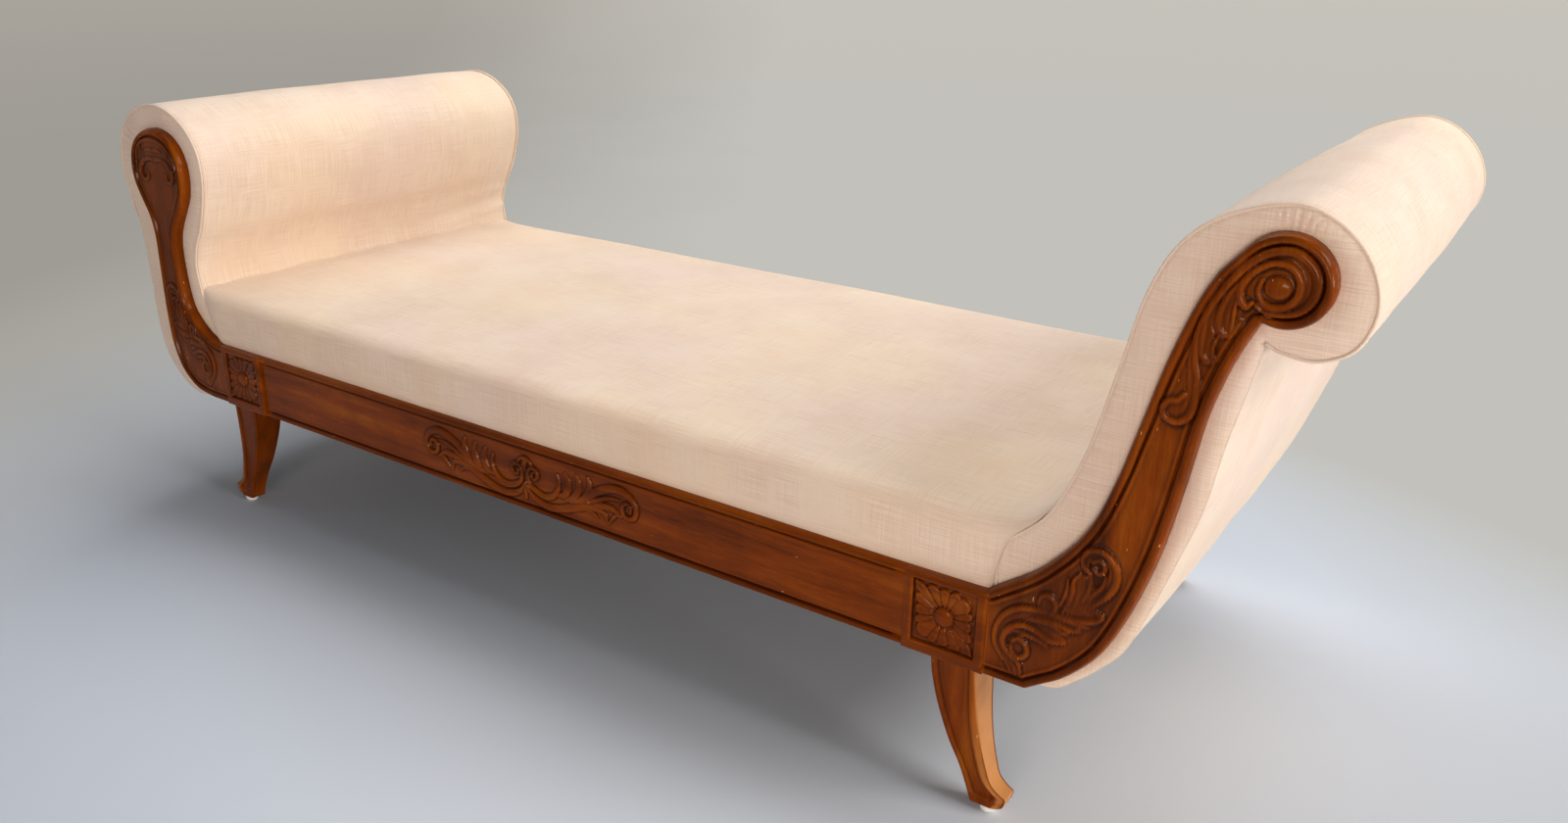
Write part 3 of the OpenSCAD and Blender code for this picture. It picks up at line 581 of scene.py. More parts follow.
ACANTHUS = [
    Mass([[[848, 236], [847, 249], [839, 255], [830, 261], [826, 270], [827, 280], [833, 289], [842, 294], [854, 294],
           [865, 290], [877, 286], [880, 291], [888, 293], [898, 298], [902, 305], [898, 310], [906, 313], [908, 317],
           [916, 318], [921, 322], [917, 326], [930, 329], [925, 332], [934, 338], [942, 346], [944, 351], [933, 355],
           [924, 355], [905, 345], [888, 337], [873, 336], [859, 334], [845, 329], [832, 321], [822, 307], [815, 292],
           [810, 281], [810, 271], [814, 260], [826, 247], [837, 234]]], 2.0),
    Mass([[[893, 340], [896, 354], [896, 367], [894, 381], [898, 375], [901, 384], [908, 395], [916, 398], [921, 397],
           [915, 404], [911, 414], [915, 422], [924, 430], [935, 431], [946, 426], [954, 416], [957, 403], [952, 386],
           [944, 372], [932, 357], [913, 346]],
          [[927, 396], [921, 406], [921, 416], [927, 422], [935, 422], [942, 415], [943, 403], [938, 390],
           [930, 381]]], 1.9),
    Mass([[[862, 334], [862, 345], [867, 354], [875, 358], [883, 354], [886, 346], [883, 337], [873, 335]]], 1.6),
    Mass([[[832, 265], [831, 274], [836, 283], [843, 285], [850, 281], [853, 274], [851, 265], [846, 257],
           [839, 256]]], 1.6),
    Ridge([[923, 401], [915, 406], [912, 416], [916, 427], [926, 433], [939, 431], [950, 420], [954, 405], [952, 391],
           [945, 378], [936, 367], [928, 358]], (2.0, 3.0, 3.6, 3.8, 3.4, 2.2), (2.2, 3.0, 3.2, 3.2, 2.8, 1.6)),
    Ridge([[924, 417], [931, 421], [938, 416], [938, 408], [931, 404], [925, 409]], (2.4, 2.8, 2.2), (2.4, 2.8, 2.2)),
    Ridge([[941, 404], [939, 391], [931, 378], [923, 368]], (1.4, 3.0, 1.6)),
    Ridge([[922, 400], [924, 388], [922, 374], [917, 362]], (1.6, 2.6, 1.4)),
    Ridge([[910, 397], [904, 386], [904, 370], [901, 352]], (1.2, 3.0, 1.4)),
    Ridge([[897, 386], [897, 374], [895, 362], [890, 348]], (1.0, 2.4, 1.2)),
    Ridge([[864, 343], [867, 353], [876, 357], [884, 350], [885, 340], [880, 331]], (1.8, 3.2, 1.8), (1.8, 3.0, 1.8)),
    Ridge([[927, 357], [936, 354], [943, 350], [936, 342], [921, 337], [902, 334], [884, 330]], (1.6, 3.0, 3.6, 2.0)),
    Ridge([[929, 331], [916, 331], [903, 331], [892, 327]], (1.2, 2.4, 1.4)),
    Ridge([[919, 328], [910, 320], [896, 322], [880, 324], [864, 324]], (1.6, 2.8, 3.0, 1.6)),
    Ridge([[901, 311], [893, 316], [880, 320], [862, 319], [848, 314]], (1.6, 3.0, 3.0, 1.6)),
    Ridge([[901, 300], [885, 297], [868, 303], [850, 307], [836, 302], [826, 291], [822, 278], [827, 266], [836, 259],
           [845, 252], [849, 239]], (1.8, 3.4, 3.6, 3.8, 3.4, 2.8, 1.8), (1.6, 2.8, 3.2, 3.2, 3.2, 3.0, 1.6)),
    Ridge([[884, 334], [864, 333], [842, 328], [825, 316], [815, 300], [811, 282], [814, 266], [825, 250]],
          (1.6, 3.0, 3.4, 3.2, 1.8), (1.4, 2.6, 3.0, 2.8, 1.6)),
    Ridge([[880, 287], [866, 293], [853, 294], [842, 290]], (1.4, 3.0, 1.8)),
    Ridge([[836, 281], [843, 286], [851, 282], [855, 273], [852, 264], [844, 260], [836, 264], [834, 272]],
          (2.0, 3.0, 3.2, 2.4), (2.2, 3.0, 3.0, 2.2)),
    Ridge([[836, 250], [842, 243], [843, 234]], (1.6, 2.4, 1.4)),
]
RAIL_SPRAY = [
    Ridge(scroll((19, 283), 13.5, 3.5, 215, -230, 26), (2.4, 3.2, 2.6, 2.0), (2.4, 3.0, 2.8, 2.2)),
    Ridge([[6, 279], [10, 265], [24, 256], [42, 252], [58, 257], [69, 268], [74, 282], [70, 297]],
          (2.6, 4.2, 4.6, 3.6, 1.6), (2.6, 3.2, 3.4, 3.0, 1.6)),
    Ridge([[68, 262], [84, 266], [92, 279], [93, 292], [87, 303]], (2.0, 5.4, 5.2, 2.4)),
    Ridge([[86, 258], [103, 266], [113, 281], [115, 295], [110, 306]], (2.0, 5.6, 5.2, 2.2)),
    Ridge([[108, 260], [124, 270], [135, 285], [138, 298], [134, 309]], (2.0, 5.4, 5.0, 2.0)),
    Ridge([[2, 262], [12, 248], [30, 239], [54, 236], [82, 242], [110, 253], [138, 261], [164, 259], [172, 244]],
          (2.4, 4.8, 5.4, 5.6, 5.0, 2.2), (2.0, 3.0, 3.2, 3.2, 2.8, 1.6)),
    Ridge([[96, 258], [124, 271], [148, 288], [176, 302], [202, 305], [221, 297], [230, 283], [226, 268], [214, 263],
           [204, 269], [203, 280], [211, 287], [219, 283], [219, 275]],
          (2.4, 5.0, 5.6, 5.0, 3.8, 3.0, 2.2), (1.8, 3.0, 3.4, 3.4, 3.2, 3.0, 2.2)),
    Ridge([[120, 262], [150, 276], [178, 287], [200, 289]], (1.4, 3.2, 3.2, 1.4), (1.4, 2.4, 2.4, 1.2)),
    Ridge([[140, 265], [162, 270], [184, 270], [199, 262]], (1.8, 4.6, 4.6, 2.0)),
    Ridge([[176, 245], [182, 254], [190, 262], [200, 262]], (1.4, 2.8, 1.4)),
    Ridge([[108, 251], [128, 256], [142, 253], [152, 245]], (1.2, 2.8, 2.6, 1.2)),
]
RAIL_BUD = [
    Ridge([[0, 266], [0, 250], [0, 238]], (1.8, 4.2, 2.0), (2.0, 3.0, 1.8)),
    Ridge([[0, 287], [-1, 298], [0, 308]], (2.0, 4.4, 1.6), (2.2, 3.4, 1.8)),
    Ridge([[-16, 296], [-9, 304], [0, 307], [10, 304], [17, 296]], (1.4, 2.8, 1.4)),
]
LOW_HEAD = [
    Mass([[[-966, 652], [-978, 668], [-972, 690], [-953, 704], [-921, 709], [-889, 703], [-870, 688], [-864, 668],
           [-874, 652], [-886, 666], [-903, 674], [-921, 671], [-940, 673], [-954, 666]]], 1.4),
    Ridge([[-984, 660], [-976, 686], [-955, 703], [-921, 709], [-888, 702], [-866, 684], [-860, 658]],
          (1.4, 2.6, 2.8, 2.6, 1.4), (1.6, 2.8, 2.8, 2.8, 1.6)),
    Ridge([[-958, 674], [-966, 690], [-958, 702]], (1.2, 2.6, 1.2)),
    Ridge([[-884, 674], [-877, 690], [-885, 701]], (1.2, 2.6, 1.2)),
    Ridge([[-921, 672], [-940, 673], [-957, 668], [-970, 656], [-972, 641], [-962, 632], [-951, 637], [-951, 648]],
          (3.4, 3.2, 3.6, 3.2, 2.0), (2.6, 3.0, 3.2, 3.0, 2.0)),
    Ridge([[-921, 672], [-903, 674], [-886, 669], [-873, 656], [-871, 642], [-881, 633], [-892, 638], [-892, 648]],
          (3.4, 3.2, 3.6, 3.2, 2.0), (2.6, 3.0, 3.2, 3.0, 2.0)),
    Ridge([[-921, 690], [-938, 690], [-950, 686]], (2.6, 2.8, 1.2)),
    Ridge([[-921, 690], [-905, 690], [-893, 686]], (2.6, 2.8, 1.2)),
]


@dataclass(frozen=True)
class Rosette:
    """Square flower: petals round a domed boss, broad and narrow ones in turn at the corners.

    A petal is its middle's angle, half its angle and how far its tip reaches towards the square.
    """

    centre: tuple[float, float]
    half: float = 44.5
    boss: float = 13.5
    ground: float = -4.2
    petals: tuple = (
        (135, 9, 1.0), (113, 11, .98), (90, 12, .96), (69, 9, .98), (44, 17, .90), (19, 9, .95), (-3, 13, .93),
        (-25, 10, .96), (-44, 9, 1.0), (-64, 11, .97), (-88, 13, .96), (-111, 10, .94), (-137, 17, .92),
        (-162, 9, .95), (176, 13, .95), (154, 10, .97),
    )

    def height(self, points: Array) -> Array:
        """Relief of the flower, level with the block's frame at 0.

        Across a petal, x runs from -1 to 1: its surface falls by the fourth power of x into the
        groove beside it, and its tip lies at the square's edge times its reach, less a share of x^2.
        A petal dips towards the boss and lifts a lip at its tip. The boss is a dome of a sphere.

        Args:
            points: places in the plane, one row each.

        Returns:
            The heights.
        """
        rel = points - np.asarray(self.centre)
        r, a = np.hypot(rel[:, 0], rel[:, 1]), np.arctan2(rel[:, 1], rel[:, 0])
        square = self.half / np.maximum(np.abs(np.cos(a)), np.abs(np.sin(a)))
        flower = np.full(len(r), self.ground)
        for middle, half, reach in self.petals:
            x = ((np.degrees(a) - middle + 180) % 360 - 180) / half
            furthest = 1.41 if half < 10 and reach == 1 else 1.2
            share = r / (np.minimum(square, self.half * furthest) * reach * (1 - 0.12 * x * x))
            top = -1.0 - 2.0 * x**4 - 1.9 * rise((0.75 - share) * 1.6) + 0.9 * bump((share - 0.9) / 0.12)
            body = self.ground + (top - self.ground) * rise((1 - share) * 11)
            flower = np.where(np.abs(x) <= 1, np.maximum(flower, body), flower)
        flower = flower - 1.2 * bump((r - self.boss - 1.5) / 3.5)
        dome = -3.6 + 5.0 * np.sqrt(np.clip(1 - (r / self.boss) ** 2, 0, 1))
        return np.maximum(flower, np.where(r < self.boss, dome, -9))


# ---- outlines, as shares of an end's reach and rise -------------------------

INSIDE = {
    False: [[0, .188], [0, .240], [.024, .291], [.089, .327], [.154, .367], [.220, .445], [.274, .540],
            [.333, .690], [.382, .817], [.458, .912], [.577, .970], [.745, 1], [.870, .979], [.963, .924],
            [1, .852], [.963, .785], [.870, .754], [.775, .758], [.729, .769]],
    True: [[.086, .219], [.139, .250], [.191, .303], [.240, .384], [.258, .460], [.217, .533],
           [.131, .605], [.056, .696], [.019, .783], [.041, .868], [.146, .937], [.322, .986],
           [.509, 1], [.715, .978], [.903, .913], [1, .795], [.963, .674], [.921, .600]],
}
OUTSIDE = {
    False: [[.729, .769], [.713, .706], [.669, .580], [.637, .461], [.585, .351], [.523, .237],
            [.462, .140], [.395, .088], [.310, .038], [.225, .006], [.010, .001]],
    True: [[.921, .600], [.888, .510], [.884, .366], [.880, .212], [.820, .095], [.655, .011],
           [.472, -.020], [.266, -.008], [.015, .002]],
}
FACING_OUTER = [[.157, 0], [.220, .025], [.282, .051], [.363, .101], [.420, .155], [.480, .245], [.531, .351],
                [.564, .450], [.588, .540], [.612, .632], [.650, .714], [.686, .769], [.718, .809]]
FACING_INNER = [[.585, .880], [.545, .833], [.504, .766], [.469, .698], [.436, .619], [.409, .556],
                [.382, .493], [.333, .406], [.274, .340], [.198, .284], [.125, .243], [0, .190]]
FACING_LOW = [[.191, 0], [.378, .016], [.528, .071], [.607, .158], [.625, .248], [.625, .348], [.614, .475],
              [.610, .556], [.637, .620], [.697, .674], [.753, .732], [.764, .792], [.723, .855],
              [.622, .902], [.483, .924], [.341, .913], [.232, .877], [.172, .822], [.165, .764],
              [.195, .707], [.258, .656], [.326, .607], [.375, .556], [.393, .493], [.386, .402],
              [.360, .328], [.300, .283], [.206, .243], [.101, .217], [0, .208]]
# Which of the points above are the low facing's outer neck, far point and inner neck, and which of
# the inside's points are an end panel's neck and far point.
LOW_TURNS = (7, 14, 22)
PANEL_TURNS = {False: (8, 14), True: (6, 12)}
LEG_INNER = [[0, 1], [.02, .87], [.10, .67], [.25, .43], [.42, .235], [.57, 0]]
LEG_OUTER = [[.552, 1], [.57, .84], [.61, .62], [.67, .43], [.75, .27], [.81, .18], [.90, .13], [1, .10]]


def outline(shares: Sequence[Sequence[float]], low: bool, per_span: int = SPAN) -> Array:
    """Smooth run in u and v through points given as shares of an end's reach and rise."""
    return curve(np.asarray(shares, float) * [REACH[low], RISE[low]], per_span)


def volute_rim(angles: Array) -> Array:
    """Rim of the high facing's volute: its radius swells by a sine over half a turn.

    Args:
        angles: angles about the volute's eye in degrees.

    Returns:
        The rim's points in u and v.
    """
    a0, r0, r1 = -107.0, 43.5, 52.0
    r = r0 + (r1 - r0) * np.sin(np.radians((angles - a0) / 2))
    return VOLUTE_EYE + np.stack([r * np.cos(np.radians(angles)), r * np.sin(np.radians(angles))], axis=1)


@dataclass(frozen=True)
class FacingShape:
    """The two runs of an arm facing, which meet at the far point of its head."""

    low: bool

    def runs(self, pitch: float = 1.5) -> tuple[Array, Array]:
        """Outer and inner run with rows that lie across the shaft and then across the head.

        Args:
            pitch: distance between rows in millimetres.

        Returns:
            The outer run and the inner run, with as many points.
        """
        if self.low:
            whole = outline(FACING_LOW, True)
            neck, apex, neck_inner = (SPAN * k for k in LOW_TURNS)
            outer, outer_head = np.vstack([[0, 0], whole[: neck + 1]]), whole[neck : apex + 1]
            inner, inner_head = whole[neck_inner:][::-1], whole[apex : neck_inner + 1][::-1]
        else:
            outer = np.vstack([[0, 0], outline(FACING_OUTER, False), volute_rim(np.array([-107.0]))])
            outer_head = volute_rim(np.linspace(-107, 16, 40))
            inner_head = volute_rim(np.linspace(139, 16, 40))
            inner = np.vstack([outline(FACING_INNER, False)[::-1], volute_rim(np.array([139.0]))])
        n = int(travelled(inner)[-1] / pitch)
        m = int(travelled(inner_head)[-1] / pitch)
        return (
            np.vstack([even(outer, n), even(outer_head, m)[1:]]),
            np.vstack([even(inner, n), even(inner_head, m)[1:]]),
        )


def keep(piece: bpy.types.Object, finish: bpy.types.Material, slot: str, *nodes: str) -> None:
    """Gives a piece its finish, puts it under the root body and hides the nodes that it stands for.

    Args:
        piece: the new piece.
        finish: its material.
        slot: not used.
        nodes: the nodes that it stands for.
    """
    piece.data.materials.append(finish)
    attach(piece, "root")
    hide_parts(*nodes)
    LOG.info("made %s with %d faces", piece.name, len(piece.data.polygons))


# ---- show wood ------------------------------------------------------------


@dataclass(frozen=True)
class ShowWood:
    """The carved rails, corner blocks, arm facings and legs."""

    grain_x: bpy.types.Material
    grain_z: bpy.types.Material
    pitch: float = 1.4
    leg_in: float = 74.0
    leg_sweep: float = 116.0
    leg_d: float = 60.0
    foot_d: float = 28.0
    leg_back: float = 5.0
    foot_back: float = 15.0
    leg_rows: int = 120

    def moulding(self, node: str, place: Place, x: Array, z: Array, h: Array, front: float, back: float) -> None:
        """Closed section carried along X, with a relief in front and a rebate above.

        Args:
            node: the node that it stands for.
            place: the end and the side that it belongs to.
            x: the stations.
            z: the relief's heights above the section's underside, one row for each station.
            h: the relief.
            front: depth of the relief's zero.
            back: depth of the section's back.
        """
        tail = np.array([[SHOW_W, RAIL_H], [SHOW_W, RAIL_H - REBATE_H], [back, RAIL_H - REBATE_H], [back, 0]])
        depth = np.hstack([front - h, np.tile(tail[:, 0], (len(x), 1))])
        high = RAIL_Z + np.hstack([z, np.tile(tail[:, 1], (len(x), 1))])
        rings = place.world(np.tile(x[:, None], (1, depth.shape[1])), depth, high)
        # The relief holds pooled staining and painted shade; the tail's plain faces are painted lighter, as painted
        # light on a top lit from above.
        hollow = np.hstack([stain_and_shade_depth(h), np.full((len(x), len(tail)), PAINTED_LIGHT_SIDE)]).ravel()
        name = f"carved_{node}".replace("corner_", "")
        keep(loft(name, rings, hollow=hollow), self.grain_x, "show_wood", node)

    def rail_height(self, points: Array) -> Array:
        """Relief of a rail: moulded along both long edges, with the spray mirrored about its middle.

        Args:
            points: places in X and in height above the floor.

        Returns:
            The heights.
        """
        x, z = points[:, 0], points[:, 1] - RAIL_Z
        edge = moulded_edge(np.minimum(RAIL_H - z, 1.25 * z), 0.3)
        mirrored = np.stack([np.abs(x + 2), points[:, 1]], axis=1)
        side_up, side_low = carved(mirrored, RAIL_SPRAY)
        bud_up, bud_low = carved(np.stack([x + 2, points[:, 1]], axis=1), RAIL_BUD)
        return laid(edge, np.maximum(side_up, bud_up), np.maximum(side_low, bud_low))

    def rail(self, face: Face) -> None:
        """Long rail, whose stations are close together at the spray and wide apart elsewhere.

        Args:
            face: the rail's side of the couch.
        """
        spray = 252
        far = spray + (BLOCK_IN - spray) * np.linspace(0, 1, 44)[1:]
        x = np.concatenate([-far[::-1], np.arange(-spray, spray + 0.01, self.pitch), far])
        grid_x, grid_z = np.meshgrid(x, np.linspace(0, RAIL_H, int(RAIL_H / self.pitch)), indexing="ij")
        h = self.rail_height(np.stack([grid_x.ravel(), RAIL_Z + grid_z.ravel()], 1)).reshape(grid_x.shape)
        node = f"{'back' if face.value else 'front'}_rail"
        self.moulding(node, Place(Side.HIGH, face), x, grid_z, h, BLOCK_PROUD, RAIL_T + BLOCK_PROUD)

    def block(self, place: Place) -> None:
        """Corner block: a raised frame round the rosette.

        Args:
            place: its corner of the couch.
        """
        x = np.linspace(BLOCK_IN, BLOCK_OUT, 92)
        grid_x, grid_z = np.meshgrid(x, np.linspace(0, RAIL_H, 92), indexing="ij")
        middle = (BLOCK_IN + BLOCK_W / 2, RAIL_H / 2 + 3.5)
        flower = Rosette(middle)
        points = np.stack([grid_x.ravel(), grid_z.ravel()], 1)
        off = np.abs(points - np.asarray(middle)).max(1)
        across, up = points.T
        rim = np.minimum.reduce([across - BLOCK_IN, BLOCK_OUT - across, up, RAIL_H - up])
        frame_h = -0.12 * np.clip(4 - rim, 0, None) ** 2 + 0.5 * bump((off - 50) / 5)
        h = (frame_h + (flower.height(points) - frame_h) * rise((flower.half + 1.4 - off) / 1.8)).reshape(grid_x.shape)
        self.moulding(f"corner_block_{place.name}", place, x, grid_z, h, 0.0, BLOCK_D)

    def facing_height(self, low: bool, ring: Array) -> Callable[[Array], Array]:
        """Relief of an arm facing, as a function of points in u and v.

        Args:
            low: whether it belongs to the low end.
            ring: the facing's edge without its straight joint.

        Returns:
            The function.
        """
        leaves = shifted(ACANTHUS, 1, 1, *-CORNER_OUT)
        if low:
            leaves = shifted(leaves, .86, .95, 22, 8, 0.9)
            extra = shifted(LOW_HEAD, -1, 1, *-CORNER_OUT)
        else:
            extra = shifted(VOLUTE, 1, 1, *-CORNER_OUT)

        def height(points: Array) -> Array:
            """Moulded edge by distance, with the ridges laid on the field.

            Args:
                points: places in the plane, one row each.

            Returns:
                The heights.
            """
            gap, _ = nearest(points, ring)
            up, cut = carved(points, leaves + extra)
            round_eye = (not low) * rise((60 - np.linalg.norm(points - VOLUTE_EYE, axis=1)) / 10)
            ground = moulded_edge(gap, 1.3 * (1 - round_eye)) - 2.4 * round_eye * bump((gap - 16) / 8)
            return laid(ground, up, cut) - 0.07 * np.clip(6.5 - gap, 0, None) ** 2

        return height

    def facing(self, place: Place) -> None:
        """Arm facing: rows across the shaft and the head, between its outer and its inner run.

        Args:
            place: its corner of the couch.
        """
        low = place.side.value
        outer, inner = FacingShape(low).runs()
        ring = np.vstack([outer[::3], outer[-1:], inner[::-1][::3], inner[:1]])
        t = np.linspace(0, 1, 58)
        across = t - 0.045 * np.sin(2 * np.pi * t)
        piece = plate(
            f"carved_facing_{place.name}", place, outer, inner, across, self.facing_height(low, ring), 0.0, FACING_T
        )
        keep(piece, self.grain_z, "show_wood", f"arm_facing_{place.name}")

    def leg(self, place: Place) -> None:
        """Sabre leg: a closed section carried down between its inner and its outer curve.

        The front has a bead along each edge, of which the outer one widens downwards and rounds
        over, and a flute between them; the section's depth shrinks evenly to the foot.

        Args:
            place: its corner of the couch.
        """
        high, rows = RAIL_Z - GLIDE_H, self.leg_rows
        size = np.array([self.leg_sweep, high])
        inner = even(curve(np.asarray(LEG_INNER) * size, 10), rows)
        outer = even(np.vstack([curve(np.asarray(LEG_OUTER) * size, 10), [[1.005 * size[0], .085 * size[1]],
                                [.985 * size[0], .04 * size[1]], [.94 * size[0], 0]]]), rows)
        wide = np.linalg.norm(outer - inner, axis=1)[:, None]
        t = np.linspace(0, 1, 46)[None]
        foot = (inner[:, 1] + outer[:, 1])[:, None] / 2
        low = np.clip(1 - (foot - .08 * high) / (.92 * high), 0, 1)
        outside = (1 - t) * wide
        d = np.minimum(t * wide, outside / (1 + 0.9 * low))
        fade = rise((foot - 9) / 7)
        relief = 1.1 * bump((d - 4.2) / 4.6) - 3.4 * rise((d - 7.2) / 3.4) + 0.5 * bump((d - 13.5) / 2.2)
        h = relief * fade - 0.22 * np.clip(2.6 - d, 0, None) ** 2
        h = h - 0.03 * np.clip(11 + 4 * low - outside, 0, None) ** 2
        # The front is lighter in colour towards the outer edge, running into the painted light on the side faces.
        sunk = stain_and_shade_depth(h) - 1.5 * rise((12 + 6 * low - outside) / 9)
        front = self.leg_back + (self.foot_back - self.leg_back) * low
        back = front + self.leg_d + (self.foot_d - self.leg_d) * low
        side = np.linspace(0, 1, 12)[None, 1:-1]
        ease = 1.8 * (1 - np.sin(np.pi * np.linspace(0, 1, 12)) ** 0.35)[None, 1:-1]
        rear = np.tile(t[:, ::-5], (rows, 1))
        share = np.hstack([np.tile(t, (rows, 1)), 1 - ease / wide, rear, ease / wide])
        depth = np.hstack([front - h, front + (back - front) * side, np.tile(back, (1, rear.shape[1])),
                           back + (front - back) * side])
        flat = inner[:, None] * (1 - share[..., None]) + outer[:, None] * share[..., None]
        rings = place.world(BLOCK_OUT - self.leg_in + flat[..., 0], depth, GLIDE_H + flat[..., 1])
        hollow = np.zeros(share.shape)
        hollow[:, : t.shape[1]] = sunk
        # Painted light: the outer side faces are made lighter, as a side in strong light.
        hollow[:, t.shape[1] - 1 : t.shape[1] + side.shape[1]] = -2.0
        piece = loft(f"sabre_leg_{place.name}", rings, hollow=hollow.ravel())
        keep(piece, self.grain_z, "show_wood", f"leg_{place.name}")

    def make(self) -> None:
        """Makes every piece of show wood."""
        for face in Face:
            self.rail(face)
        for place in CORNERS:
            self.block(place)
            self.facing(place)
            self.leg(place)


# ---- upholstery -----------------------------------------------------------


def spread(values: Array, at: Array, count: int) -> Array:
    """Rows known at some of count places, filled in along straight lines and rounded off between them.

    Args:
        values: the rows that are known.
        at: their places.
        count: how many rows to give.

    Returns:
        The filled rows.
    """
    k = np.clip(np.searchsorted(at, np.arange(count), side="right") - 1, 0, len(at) - 2)
    w = ((np.arange(count) - at[k]) / (at[k + 1] - at[k]))[:, None]
    filled = values[k] * (1 - w) + values[k + 1] * w
    return smoothed(smoothed(filled, 2), 2)


@dataclass(frozen=True)
class Settling:
    """Short cloth simulation that lets a pulled cover swell and pucker between the seams that hold it."""

    step_along: int = 4
    step_over: int = 3
    frames: int = 18
    pressure: float = 1.6
    slack: float = -0.03
    stiffness: float = 30.0
    bending: float = 0.6
    swelling_taken: float = 0.75
    cap: float = 0.007

    def moved(self, rings: Array, free: int) -> Array:
        """Rings moved as the simulated cloth moves, with its mean swelling taken off.

        A coarse copy of the grid is simulated with pressure and no gravity. Its first and last
        rows, its first column and the columns from free - 1 on are held. The move of each point is
        capped and carried back to the fine grid.

        Args:
            rings: the form's closed rings in metres.
            free: how many of a ring's points are cloth that may move.

        Returns:
            The moved rings.
        """
        rows, cols = rings.shape[:2]
        i = np.unique(np.append(np.arange(0, rows, self.step_along), rows - 1))
        j = np.unique(np.append(np.arange(0, free, self.step_over), np.arange(free - 1, cols)))
        rough = rings[np.ix_(i, j)]
        held = np.zeros(rough.shape[:2], bool)
        held[[0, -1]] = held[:, 0] = True
        held[:, j >= free - 1] = True
        normal = np.cross(np.gradient(rough, axis=0), np.gradient(rough, axis=1))
        normal = normal / np.maximum(np.linalg.norm(normal, axis=2, keepdims=True), 1e-12)
        if (normal * (rough - rough.mean(axis=1, keepdims=True))).sum() < 0:
            normal = -normal
        move = self._simulated(rough, normal, held) - rough
        swell = (move * normal).sum(axis=2)
        move = move - self.swelling_taken * np.median(swell[~held]) * normal * ~held[..., None]
        far = np.linalg.norm(move, axis=2, keepdims=True)
        move = move * np.minimum(1, self.cap / np.maximum(far, 1e-9))
        LOG.info("settled %d points, furthest %.1f mm", held.size, 1000 * far.max())
        full = np.stack([spread(spread(move[..., k], i, rows).T, j, cols).T for k in range(3)], axis=-1)
        return rings + full

    def _simulated(self, rough: Array, normal: Array, held: Array) -> Array:
        """Where the simulation leaves a grid of closed rings.

        Args:
            rough: the grid's points in metres.
            normal: the outward normal at each of them.
            held: which of them can't move.

        Returns:
            The points after the last frame.
        """
        points = rough.reshape(-1, 3)
        quads = grid_quads(*held.shape, wrap=True)
        a, b, _, d = np.moveaxis(points[quads], 1, 0)
        if (np.cross(b - a, d - a) * normal.reshape(-1, 3)[quads[:, 0]]).sum() <= 0:
            quads = quads[:, ::-1]
        mesh = bpy.data.meshes.new("settling")
        mesh.from_pydata(points.tolist(), [], quads.tolist())
        piece = bpy.data.objects.new("settling", mesh)
        bpy.context.scene.collection.objects.link(piece)
        piece.vertex_groups.new(name="held").add(np.flatnonzero(held).tolist(), 1.0, "REPLACE")
        cloth = piece.modifiers.new("settling", "CLOTH")
        ways = cloth.settings
        ways.vertex_group_mass, ways.quality = "held", 6
        ways.use_pressure, ways.uniform_pressure_force = True, self.pressure
        ways.effector_weights.gravity = 0
        ways.shrink_min = self.slack
        ways.tension_stiffness = ways.compression_stiffness = self.stiffness
        ways.bending_stiffness = self.bending
        cloth.collision_settings.use_collision = False
        cloth.point_cache.frame_end = self.frames
        for number in range(1, self.frames + 1):
            bpy.context.scene.frame_set(number)
        after = piece.evaluated_get(bpy.context.evaluated_depsgraph_get()).to_mesh()
        found = np.empty(points.size, np.float32)
        after.vertices.foreach_get("co", found)
        bpy.data.objects.remove(piece)
        bpy.context.scene.frame_set(1)
        return found.reshape(rough.shape).astype(float)


